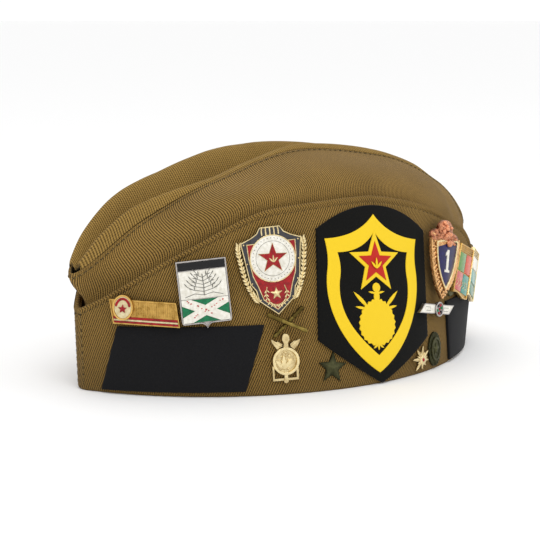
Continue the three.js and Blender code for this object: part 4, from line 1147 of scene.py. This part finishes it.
def makeMeritPin():
    y, radius = meritPin["discY"], meritPin["disc"]
    body, inner = bothSides(meritPin["outer"], -20.6), bothSides(meritPin["inner"], -17.8)
    grains, stems = [], []
    for way in (1, -1):
        ear = smooth([(way * a, b) for a, b in meritPin["wheat"]], 12, False)
        stems.append(bar(np.column_stack([ear, np.full(len(ear), 0.55)]), 0.55, sides=8))
        for k in np.linspace(0, len(ear) - 2, meritPin["grains"]).astype(int):
            ahead = ear[k] - ear[k + 1]
            lean = math.degrees(math.atan2(ahead[0], ahead[1]))
            for side in (-1, 1):
                grains.append(slab([leafOutline(2.6, 0.95, lean + 32 * side, *ear[k])], 1, 0.35, 0.35))
    rivets = [
        dome(0.9, 0.9, 0.4, plateTop + 0.3, way * a, b, 8, 3)
        for a, b in meritPin["rivets"] for way in (-1, 1)
    ]
    crest = [wire([(a, 16.6), (a, 18.6), (0.92 * a, 19.9)], 0.8, plateTop + 0.3) for a in (-4, -2, 0, 2, 4)]

    # Points on a circle round the disc's middle, at a share of its radius
    def circle(share, turns):
        return [(share * radius * math.cos(a), y + share * radius * math.sin(a)) for a in turns]

    dots = [
        dome(0.5, 0.5, 0.08, enamelTop + 0.25, *spot, 6, 2)
        for spot in circle(0.86, [math.radians(10 * k) for k in range(36)])
    ]
    line = circle(0.73, np.linspace(0, 2 * math.pi, 49))
    wreath = smooth(meritPin["wreath"], 6, False)
    makePin("meritPin", meritPin, [
        ("Plate", "slate", [
            slab([body], plateTop, rounding=0.3), frameSolid(body, inner, 0.35),
        ], ["merit_badge"]),
        ("Lines", "paleGilt", [
            frameSolid(body, insetOutline(body, 0.5), 0.55, rounding=0.12),
            frameSolid(insetOutline(inner, -0.45), inner, 0.5, rounding=0.12), *rivets, *crest,
            frameSolid(oval(2 * radius, 2 * radius, 0, y), oval(2 * radius - 1, 2 * radius - 1, 0, y), 0.85),
        ], []),
        ("Wheat", "paleGilt", [*stems, *grains], []),
        ("Disc", "white", [
            slab([oval(2 * radius - 0.9, 2 * radius - 0.9, 0, y)], 0.75, plateTop),
        ], ["merit_disc"]),
        ("Ring", "grey", [wire(line, 0.24, enamelTop + 0.22, 0.5), *dots], []),
        ("Star", "red", [
            peaked(star(0.62 * radius, 0.4, 0, y, -4), 0.25, 0.7, enamelTop + 0.25, (0, y)),
        ], ["merit_star"]),
        ("StarEdge", "paleGilt", [
            frameSolid(
                star(0.67 * radius, 0.4, 0, y, -4), star(0.61 * radius, 0.4, 0, y, -4),
                0.2, enamelTop + 0.25, 0.08,
            ),
            *sprig(3.6, 0.75, 0, y - 1.8, 0.35, enamelTop + 0.85),
        ], []),
        ("Field", "red", [slab([insetOutline(inner, -0.2)], 0.4, plateTop)], ["merit_field"]),
        ("Wreath", "paleGilt", [
            wire(wreath, 0.5, plateTop + 0.4), *(
                slab([leafOutline(1.9, 0.6, way * 40 + 180, *wreath[k])], 0.5, plateTop + 0.3, 0.12)
                for k in range(2, len(wreath) - 2, 3) for way in (-1, 1)
            ),
        ], []),
        ("LowStar", "paleGilt", [
            peaked(star(3.1, 0.4, 0, -10.7), 0.3, 0.6, plateTop + 0.3, (0, -10.7)),
        ], ["merit_low_star"]),
    ])


barrelsPin = {
    "along": 0.35, "up": 0.375, "turn": 0, "over": 0, "radius": 1.1,
    "upper": ((-9.8, 4.1), (7.7, -4)), "under": ((6.9, 6.4), (-6.6, -5.8)),
    "upperBarrel": [(0.3, 0.98, 0.78), (0.36, 0.42, 1), (0.6, 0.65, 0.95), (0.9, 1, 1)],
    "underBarrel": [(0.3, 0.97, 0.72), (0.42, 0.47, 0.92), (0.7, 0.74, 0.88), (0.92, 1, 0.9)],
    "upperBreech": [(0, 0.34, 0.95), (0.02, 0.06, 1.12), (0.27, 0.33, 1.08)],
    "underBreech": [(0, 0.3, 0.85), (0.02, 0.07, 1.05), (0.24, 0.3, 1)],
}


# Rod whose collars and swellings are given as (share of its length, radius as a share)
def turnedRod(ends, height, collars):
    (ax, ay), (bx, by) = ends
    radius = barrelsPin["radius"]
    solids = []
    for start, end, size in collars:
        path = [(ax + (bx - ax) * t, ay + (by - ay) * t, height) for t in np.linspace(start, end, 5)]
        solids.append(bar(path, radius * size, sides=14))
    return solids


def makeBarrelsPin():
    low, high = barrelsPin["radius"], 2.5 * barrelsPin["radius"]

    def rods(part):
        return [
            *turnedRod(barrelsPin["upper"], high, barrelsPin["upper" + part]),
            *turnedRod(barrelsPin["under"], low, barrelsPin["under" + part]),
        ]

    makePin("barrelsPin", barrelsPin, [
        ("Rods", "rod", rods("Barrel"), ["crossed_barrels"]), ("Breeches", "darkRod", rods("Breech"), []),
    ])


emblemPin = {
    "along": 0.3475, "up": 0.189, "turn": 1, "over": 0, "ringX": -0.6, "ringY": -1.1, "ring": 6.5,
    "lumps": 26, "seed": 11,
}


def makeEmblemPin():
    x, y, ring = emblemPin["ringX"], emblemPin["ringY"], emblemPin["ring"]
    wings = [
        [(-7.2, 9.6), (-6.9, 7.8), (-4.5, 4.4), (-2.4, 5.5), (-1.6, 6.7), (-4.1, 8.3), (-4.7, 8)],
        [(7, 8.5), (6.2, 6.6), (3.8, 3.9), (1.9, 5.5), (1.9, 6.7), (3.7, 8), (4.6, 8.1)],
    ]
    head = smooth([
        (-1.3, 11.4), (0.9, 11.3), (1.7, 8.9), (0.9, 7.2), (0.9, 5), (-1.5, 5), (-1.4, 7.2), (-2.1, 9),
    ], 4)
    frame = insetOutline(np.array(box(-6.7, 5, -9.6, -3.5), float), -0.5)
    holes = [box(-6.2, -1.8, -8.9, -4.6), box(0.3, 4.3, -8.9, -4.6)]
    feathers = [
        wire([(way * a, b), (way * (a - 2.6), b - 2.2)], 0.5, plateTop - 0.05)
        for way in (-1, 1) for a, b in ((6.4, 8.6), (5.6, 8.2), (4.8, 7.9))
    ]
    rng = np.random.default_rng(emblemPin["seed"])
    relief = sprig(6.6, 1.9, x - 1.2, y - 3.6, 0.75, 1.1)
    for _ in range(emblemPin["lumps"]):
        turn, reach = rng.uniform(0, 2 * math.pi), 0.66 * ring * math.sqrt(rng.uniform(0, 1))
        spot = x + reach * math.cos(turn), y + reach * math.sin(turn)
        size = rng.uniform(0.8, 2), rng.uniform(0.6, 1.4), rng.uniform(0.3, 0.7)
        relief.append(dome(*size, 1.15, *spot, 10, 3))
    makePin("emblemPin", emblemPin, [
        ("Body", "paleGilt", [
            slab([oval(2 * ring, 2 * ring, x, y)], 1.2, rounding=0.35),
            frameSolid(oval(2 * ring, 2 * ring, x, y), oval(1.6 * ring, 1.6 * ring, x, y), 0.7, 1.2, 0.3),
            *relief,
            *(slab([wing], 1.1, rounding=0.3) for wing in wings), *feathers,
            slab([head], 1.5, rounding=0.45), slab([frame, *holes], 1.05, rounding=0.25),
            slab([box(-1.7, 0.2, -10.6, -5)], 1.5, rounding=0.4),
            slab([oval(2.4, 2, -0.8, -10.4, 16)], 1.4, rounding=0.4),
        ], ["gilt_emblem"]),
    ])


smallStarPin = {"along": 0.4275, "up": 0.12, "turn": -6, "over": 0, "radius": 7.4}
sprayPin = {
    "along": 0.628, "up": 0.075, "turn": -8, "over": 0, "radius": 8,
    "reaches": (0.9, 0.85, 0.65, 0.5, 0.6, 0.95, 1.1, 0.9),
}
cockadePin = {"along": 0.668, "up": 0.113, "turn": -3, "over": 0, "width": 12, "height": 17, "rays": 22}


def makeSmallPins():
    radius = smallStarPin["radius"]
    points = star(radius, 0.4)
    makePin("smallStarPin", smallStarPin, [
        ("Body", "darkOlive", [
            slab([star(radius * 1.04, 0.44)], 0.55, rounding=0.15), peaked(points, 0.5, 1.2, 0.1),
            dome(2.6, 2.6, 0.5, 1.25, sides=14, rings=4),
        ], ["small_star"]),
    ])
    blades = []
    for k, reach in enumerate(sprayPin["reaches"]):
        angle, length = 45 * k, sprayPin["radius"] * reach
        way = np.array([math.sin(math.radians(angle)), math.cos(math.radians(angle))])
        blades.append(slab([leafOutline(length, 1.7, angle)], 0.85, 0.1, 0.35))
        blades.append(wire([way * 1.5, way * length * 0.9], 0.35, 0.95))
        blades.append(slab([leafOutline(length * 0.62, 1.1, angle + 20)], 0.8, 0.3, 0.3))
    makePin("sprayPin", sprayPin, [
        ("Leaves", "paleGilt", [*blades, slab([oval(5, 5)], 1.3, rounding=0.4)], ["gilt_spray"]),
        ("Heart", "red", [dome(1.9, 1.9, 0.6, 1.2, sides=12, rings=4)], []),
    ])
    wide, tall = cockadePin["width"], cockadePin["height"]
    rays = []
    for k in range(cockadePin["rays"]):
        angle = 2 * math.pi * k / cockadePin["rays"]
        x, y = math.cos(angle) * wide / 2, math.sin(angle) * tall / 2
        rays.append(wire([(0.72 * x, 0.72 * y), (0.95 * x, 0.95 * y)], 0.7, 0.85))
    makePin("cockadePin", cockadePin, [
        ("Body", "darkOlive", [
            slab([oval(wide, tall)], 0.9, rounding=0.3), *rays,
            slab([oval(0.68 * wide, 0.68 * tall)], 1.4, rounding=0.35),
            frameSolid(oval(0.7 * wide, 0.7 * tall), oval(0.56 * wide, 0.56 * tall), 0.3, 1.4),
            peaked(star(0.27 * wide, 0.42), 0.3, 0.7, 1.35),
        ], ["oval_cockade"]),
    ])


lozengePin = {
    "along": 0.6602, "up": 0.338, "turn": -10.8, "over": overTab, "half": 14, "tall": 2.35, "skew": 2.2,
    "disc": 3.7, "discX": 1.2, "marks": [(10.4, -0.9), (6, -0.9), (6.6, 0.8), (10.9, 0.8)],
}


def makeLozengePin():
    half, tall, skew = lozengePin["half"], lozengePin["tall"], lozengePin["skew"]

    def outline(inset):
        wide, high = half - 1.6 * inset, tall - inset
        return [(-wide - skew, -high), (wide - skew, -high), (wide + skew, high), (skew - wide, high)]

    radius, x = lozengePin["disc"], lozengePin["discX"]
    top = plateTop + 1
    turns = [math.radians(a) for a in (20, 75, 130, 200, 260, 320)]
    petals = [(x + 0.55 * radius * math.cos(a), 0.55 * radius * math.sin(a), a) for a in turns]
    groups = [
        [slab([oval(1.9, 1.5, a, b, 12)], 0.35, top, 0.1) for a, b, _ in petals[k::3]] for k in range(3)
    ]
    makePin("lozengePin", lozengePin, [
        ("Plate", "steel", [
            slab([outline(0)], plateTop, rounding=0.2),
            frameSolid(outline(0), outline(0.4), 0.5, rounding=0.05),
        ], []),
        ("Field", "white", [slab([outline(0.4)], 0.45, plateTop, 0.05)], ["lozenge_pin"]),
        ("FieldMarks", "grey", [
            wire([(way * a, b) for a, b in lozengePin["marks"]], 0.22, enamelTop, 0.5) for way in (-1, 1)
        ], []),
        ("Disc", "steel", [
            slab([oval(2 * radius, 2 * radius, x)], 1, plateTop, 0.3),
            frameSolid(oval(2 * radius, 2 * radius, x), oval(1.6 * radius, 1.6 * radius, x), 0.35, top),
        ], ["lozenge_disc"]),
        ("DiscGreen", "green", groups[0], []),
        ("DiscRed", "red", groups[1] + [dome(1.5, 1.5, 0.5, top, x, 0, 10, 3)], []),
        ("DiscBlack", "black", groups[2], []),
    ])


classPin = {
    "along": 0.6664, "up": 0.577, "turn": -13.4, "over": overPlate, "top": 14.6,
    "figure": 11.2, "stem": 1.8, "figureX": 3.3, "figureY": 2.4,
    "lumps": 26, "lumpSeed": 8, "scales": 220, "scaleSeed": 5,
}


# Blue field: its upper edge has two low arches
def fieldOutline():
    return drawn(
        (-7.1, 10.4), [(-6.4, 2), (-2.4, -5.5), (3.4, -10.4)], [(8.6, -5), (11, 3), (11.1, 12.2)],
        [(8.8, 13), (6.4, 11.2)], [(4.4, 9.4), (2.5, 10.4)], [(0.8, 12), (-1.5, 11.6)],
        [(-4.5, 11.1), (-7.1, 10.4)],
        steps=12,
    )


# Plate: a pointed shield whose tip leans a little to the front
def shieldOutline():
    return drawn(
        (-13, 15), [(-12, 4), (-7.9, -9.5), (2, -16.6)], [(12.5, -8), (15.6, 1.5), (13.9, 13.7)], steps=16,
    )


def figureOne(x, y, tall, stem):
    half, high = stem / 2, tall / 2
    foot, head, sill = half + 0.11 * tall, half + 0.1 * tall, 0.22 * high - high
    corners = [
        (-foot, -high), (foot, -high), (foot, sill), (half, sill), (half, high), (-0.5 * half, high),
        (-head, 0.66 * high), (-head, 0.44 * high), (-half, 0.56 * high), (-half, sill), (-foot, sill),
    ]
    return [(a + x, b + y) for a, b in corners]


def makeClassPin():
    outer, field = shieldOutline(), fieldOutline()
    line = insetOutline(field, -0.9)
    rng = np.random.default_rng(classPin["scaleSeed"])
    scales = []
    for _ in range(classPin["scales"]):
        k, part = rng.integers(len(outer)), rng.uniform(0.12, 0.8)
        nearest = line[np.linalg.norm(line - outer[k], axis=1).argmin()]
        spot = outer[k] + (nearest - outer[k]) * part
        scales.append(dome(*rng.uniform((0.9, 0.6), (1.8, 1.1)), 0.4, plateTop + 0.35, *spot, 8, 2))
    rng = np.random.default_rng(classPin["lumpSeed"])
    top = classPin["top"]
    lumps = [
        slab([oval(12.6, 10.6, -0.4, top + 2.4)], plateTop + 1, rounding=0.5),
        slab([oval(9.6, 6.1, -8.6, top - 0.6)], plateTop + 0.5, rounding=0.4),
        slab([oval(9.6, 6.1, 7.8, top - 1.2)], plateTop + 0.5, rounding=0.4),
        dome(4.6, 4, 1.5, plateTop + 0.9, 3.4, 11.2, 16, 5),
    ]
    for k in range(classPin["lumps"]):
        turn, reach = rng.uniform(0, 2 * math.pi), math.sqrt(rng.uniform(0.02, 0.8))
        x, y = 5.6 * reach * math.cos(turn) - 0.4, top + 2.4 + 4.6 * reach * math.sin(turn)
        lumps.append(dome(*rng.uniform((2, 1.6, 0.8), (3.8, 3, 1.6)), plateTop + 0.8, x, y, 12, 4))
        way = 1 if k % 2 else -1
        x, y = way * rng.uniform(4.5, 12) - 0.4, top - 0.8 + rng.uniform(-3, 2)
        lumps.append(dome(*rng.uniform((1.8, 1.2, 0.6), (3.2, 2.2, 1)), plateTop + 0.4, x, y, 10, 3))
    figure = figureOne(classPin["figureX"], classPin["figureY"], classPin["figure"], classPin["stem"])
    makePin("classPin", classPin, [
        ("Plate", "copperGilt", [
            slab([outer], plateTop, rounding=0.3), frameSolid(outer, line, 0.6, rounding=0.4), *scales,
        ], ["class_badge"]),
        ("Ornament", "copper", lumps, []),
        ("Line", "paleGilt", [frameSolid(line, field, 0.95, rounding=0.2)], []),
        ("Field", "blue", [slab([insetOutline(field, -0.2)], 0.5, plateTop)], ["class_field"]),
        ("Figure", "white", [slab([figure], 0.45, enamelTop)], ["class_figure"]),
    ])


flagPin = {
    "along": 0.767, "up": 0.498, "turn": -24, "over": overTab, "width": 21.5, "height": 27.5, "top": 3.2,
    "gap": 0.015,
}
endPin = {"along": 0.848, "up": 0.44, "turn": -24, "over": overTab}


# Corner of the flag: shares of its width and height, moved inwards
def flagCorner(x, y, inset=0.0):
    return np.array([
        x * flagPin["width"] - math.copysign(inset, x), y * flagPin["height"] - math.copysign(inset, y),
    ])


def flagOutline(inset):
    foot, end = flagCorner(-0.55, -0.5, inset), flagCorner(0.5, -0.44, inset)
    middle, wave = (foot + end) / 2, np.array([0, 0.05 * flagPin["height"]])
    return drawn(
        flagCorner(-0.43, 0.45, inset), [foot], [(foot + middle) / 2 + wave, middle],
        [(middle + end) / 2 - wave, end], [flagCorner(0.55, 0.53, inset)],
    )


# Both ends of a line across the flag, below its upper edge and moved inwards
def flagHeads(below, inset):
    down = np.array([0, below])
    return flagCorner(-0.43, 0.45, inset) - down, flagCorner(0.55, 0.53, inset) - down


# Part of the flag's field, between shares across and up
def flagPart(left, right, low, high):
    inset = pinSizes["rim"] + 0.1
    feet = flagCorner(-0.55, -0.46, inset), flagCorner(0.5, -0.42, inset)
    heads = flagHeads(flagPin["top"], inset)

    def spot(across, up):
        foot, head = (ends[0] * (1 - across) + ends[1] * across for ends in (feet, heads))
        return foot * (1 - up) + head * up

    return [spot(left, low), spot(right, low), spot(right, high), spot(left, high)]


def flagPlate():
    lines = [
        wire(flagHeads(flagPin["top"] * t, 0.3), 0.45, plateTop + 0.25) for t in (0.3, 0.62, 0.95)
    ]
    rim = frameSolid(flagOutline(0), flagOutline(pinSizes["rim"]))
    return [slab([flagOutline(0)], plateTop, rounding=0.25), rim, *lines]


# Enamelled fields. A row is a name, a finish and the shares (left, right, low, high) that it
# covers, and the first one stands for the CAD node.
def flagFields(node, rows):
    parts, gap = [], flagPin["gap"]
    for name, finish, (left, right, low, high) in rows:
        field = flagPart(left + gap, right - gap, low + gap, high - gap)
        parts.append((name, finish, [slab([field], 0.45, plateTop)], [] if parts else [node]))
    return parts


def makeFlagPins():
    relief = []
    for across in np.arange(0.08, 0.9, 0.17):
        for up, way in ((0.12, 1), (0.3, -1)):
            start = flagPart(across, 1, up, 1)[0]
            relief.append(wire([start, start + np.array([2.2, 1.6 * way])], 0.35, enamelTop))
    makePin("flagPin", flagPin, [
        ("Plate", "gilt", flagPlate(), ["flag_badge"]), *flagFields("flag_field", [
            ("Green", "grass", (0, 0.52, 0.5, 1)), ("Coral", "coral", (0.52, 1, 0.5, 1)),
            ("Rose", "rose", (0, 0.5, 0, 0.5)), ("Teal", "teal", (0.5, 1, 0, 0.5)),
        ]), ("Relief", "paleGilt", relief, []),
    ])
    makePin("endPin", endPin, [
        ("Plate", "paleGilt", flagPlate(), ["end_badge"]), *flagFields("end_field", [
            ("White", "white", (0, 1, 0.66, 1)), ("Teal", "teal", (0, 1, 0.3, 0.66)),
            ("Green", "green", (0, 1, 0, 0.3)),
        ]),
    ])


knotPin = {"along": 0.731, "up": 0.408, "turn": 0, "over": 0, "lumps": 9, "seed": 3}


# Small knot of olive cloth between the badges
def makeKnotPin():
    rng = np.random.default_rng(knotPin["seed"])
    lumps = [dome(8, 6.4, 1.3, 0, sides=28, rings=7)]
    for k in range(knotPin["lumps"]):
        turn = 2 * math.pi * k / knotPin["lumps"]
        wide, tall = rng.uniform(1.8, 2.6), rng.uniform(1.4, 2.2)
        lumps.append(dome(wide, tall, 0.5, 0.7, 2.2 * math.cos(turn), 1.7 * math.sin(turn), 12, 4))
    makePin("knotPin", knotPin, [("Body", "greyOlive", lumps, ["cloth_knot"])])


for makeOnePin in (
    makeBarPin, makeTownPin, makeMeritPin, makeBarrelsPin, makeEmblemPin, makeSmallPins, makeLozengePin,
    makeClassPin, makeFlagPins, makeKnotPin,
):
    makeOnePin()
print("pins made")

# Geometry nodes that repeat one small thing along a path: step is the distance between two
def repeatNodes():
    group = bpy.data.node_groups.new("repeatAlongPath", "GeometryNodeTree")
    ids = {}
    group.interface.new_socket("Geometry", in_out="INPUT", socket_type="NodeSocketGeometry")
    for name, kind in (("Step", "Float"), ("Thing", "Object"), ("Material", "Material")):
        socket = group.interface.new_socket(name, in_out="INPUT", socket_type="NodeSocket" + kind)
        ids[name] = socket.identifier
    group.interface.new_socket("Geometry", in_out="OUTPUT", socket_type="NodeSocketGeometry")
    nodes = {
        key: group.nodes.new(kind) for key, kind in {
            "given": "NodeGroupInput", "made": "NodeGroupOutput", "path": "GeometryNodeMeshToCurve",
            "spaced": "GeometryNodeCurveToPoints", "thing": "GeometryNodeObjectInfo",
            "placed": "GeometryNodeInstanceOnPoints", "real": "GeometryNodeRealizeInstances",
            "painted": "GeometryNodeSetMaterial",
        }.items()
    }
    nodes["spaced"].mode = "LENGTH"
    for source, output, target, key in (
        ("given", "Geometry", "path", "Mesh"), ("path", "Curve", "spaced", "Curve"),
        ("given", "Step", "spaced", "Length"), ("given", "Thing", "thing", "Object"),
        ("spaced", "Points", "placed", "Points"), ("thing", "Geometry", "placed", "Instance"),
        ("spaced", "Rotation", "placed", "Rotation"), ("placed", "Instances", "real", "Geometry"),
        ("real", "Geometry", "painted", "Geometry"), ("given", "Material", "painted", "Material"),
        ("painted", "Geometry", "made", "Geometry"),
    ):
        group.links.new(nodes[source].outputs[output], nodes[target].inputs[key])
    return group, ids


repeatGroup, repeatIds = repeatNodes()


# Small thing to repeat: its length lies along the path
def seedObject(name, half, radius):
    points, faces = bar([(0, 0, -half), (0.01, 0, 0), (0, 0, half)], radius, sides=6)
    mesh = bpy.data.meshes.new(name)
    mesh.from_pydata((points * mm).tolist(), [], faces)
    mesh.shade_smooth()
    return bpy.data.objects.new(name, mesh)


def repeated(name, paths, step, seed, material):
    mesh = bpy.data.meshes.new(name + "Path")
    points, edges = [], []
    for path in paths:
        first = len(points)
        points += ((np.array(path) + shift) * mm).tolist()
        edges += [(k, k + 1) for k in range(first, len(points) - 1)]
    mesh.from_pydata(points, edges, [])
    carrier = linked(name + "Path", mesh)
    modifier = carrier.modifiers.new("repeat", "NODES")
    modifier.node_group = repeatGroup
    modifier[repeatIds["Step"]] = step * mm
    modifier[repeatIds["Thing"]] = seed
    modifier[repeatIds["Material"]] = material
    depsgraph = bpy.context.evaluated_depsgraph_get()
    finished = bpy.data.meshes.new_from_object(carrier.evaluated_get(depsgraph))
    bpy.data.objects.remove(carrier)
    finished.shade_smooth()
    return linked(name, finished)


stitches = {
    "step": 3.2, "length": 2.3, "radius": 0.24, "bandEdge": 3, "seamEdge": 2.2, "seamRows": 60,
    "endShare": 0.01, "endPoints": 20, "hole": 0.34, "holeHalf": 0.42,
}

# Olive sewing thread
thread = newMaterial("olive sewing thread", Base_Color=linear("#7b6534"), Roughness=0.7)

stitchSeed = seedObject("stitch", stitches["length"] / 2, stitches["radius"])


# Small dark beads of painted shade that stand for the shadowed holes where the needle went through
needleHoleShade = newMaterial("painted needle-hole shade", Base_Color=linear("#2b220d"), Roughness=1.0)

shadeBeadSeed = seedObject("hole", stitches["holeHalf"], stitches["hole"])


def bandLine(below, lift):
    columns = shares[(shares > 0.005) & (shares < 0.995)]
    return bandPoint(columns, bandTop(columns) - below, lift)[0]


def seamLine(side, below):
    columns = shares[(shares > 0.01) & (shares < 0.99)]
    grid = crownSide(side, columns, np.linspace(1.5, 2, stitches["seamRows"]))
    normals = gridNormals(grid)
    steps = np.linalg.norm(np.diff(grid[:, ::-1], axis=1), axis=-1).cumsum(axis=1)
    rows = []
    for i, walked in enumerate(steps):
        j = stitches["seamRows"] - 2 - int(np.searchsorted(walked, below))
        rows.append(grid[i, j] + normals[i, j] * 0.1)
    return np.array(rows)


def mirrorPoints(points):
    return points * np.array([1, -1, 1])


def makeStitches():
    line = bandLine(stitches["bandEdge"], bandRelief(stitches["bandEdge"]))
    share, count, margin = stitches["endShare"], stitches["endPoints"], stitches["bandEdge"]
    heights = np.linspace(margin, float(bandTop(np.array(share))) - margin, count)
    end = bandPoint(np.full(count, share), heights, 0.05)[0]
    seams = [seamLine("Right", stitches["seamEdge"]), mirrorPoints(seamLine("Left", stitches["seamEdge"]))]
    paths = {
        "stitchesFlap": [line, mirrorPoints(line)], "stitchesSeam": seams,
        "stitchesEnd": [end, mirrorPoints(end)],
    }
    for name, lines in paths.items():
        dress(repeated(name, lines, stitches["step"], stitchSeed, thread), "twill")
        holes = [(line[:-1] + line[1:]) / 2 for line in lines]
        # Dark beads of painted shade between the stitches, where the needle holes lie in shadow
        dress(repeated(name + "Holes", holes, stitches["step"], shadeBeadSeed, needleHoleShade), "twill")


makeStitches()
print("stitches made")


# Camera as the photo was taken: millimetres from the middle of the part's own frame
camera = {"turn": 35.3, "rise": 9.41, "away": 800, "target": (-5.4, 0, 46.3), "lens": 105.9}


def makeCamera():
    turn, rise = math.radians(camera["turn"]), math.radians(camera["rise"])
    ahead = Vector((
        math.sin(turn) * math.cos(rise), math.cos(turn) * math.cos(rise), -math.sin(rise),
    ))
    right = Vector((math.cos(turn), -math.sin(turn), 0))
    up = right.cross(ahead)
    data = bpy.data.cameras.new("camera")
    data.lens, data.sensor_width = camera["lens"], 36
    data.clip_start, data.clip_end = 0.05, 20
    thing = linked("camera", data)
    place = (Vector(camera["target"]) + Vector(shift) - ahead * camera["away"]) * mm
    turned = Matrix((right, up, -ahead)).transposed().to_4x4()
    thing.matrix_world = Matrix.Translation(place) @ turned
    bpy.context.scene.camera = thing


makeCamera()

# Soft studio light on a pale floor
studio = {"floor": 40.0, "sky": 1.06, "target": (0, 0, 0.05)}


def areaLight(name, place, size, power):
    data = bpy.data.lights.new(name, "AREA")
    data.size, data.energy = size, power
    thing = linked(name, data)
    thing.location = place
    way = Vector(studio["target"]) - Vector(place)
    thing.rotation_euler = way.to_track_quat("-Z", "Y").to_euler()


def makeStudio():
    half = studio["floor"]
    mesh = bpy.data.meshes.new("floor")
    mesh.from_pydata([(x, y, 0) for x, y in box(-half, half, -half, half)], [], [(0, 1, 2, 3)])
    # White paper sweep
    paper = newMaterial("white paper", Base_Color=linear("#f4f4f4"), Roughness=0.9)
    mesh.materials.append(paper)
    floor = linked("floor", mesh)
    areaLight("keyLight", (-0.4, -0.9, 1.6), 0.8, 7)
    areaLight("fillLight", (1.1, -0.9, 0.8), 1.0, 2)
    world = bpy.data.worlds.new("studio")
    world.use_nodes = True
    ground = world.node_tree.nodes["Background"]
    ground.inputs["Color"].default_value = (1, 1, 1, 1)
    ground.inputs["Strength"].default_value = studio["sky"]
    bpy.context.scene.world = world
    bpy.context.scene.view_settings.view_transform = "Standard"


makeStudio()
print("camera and light set")
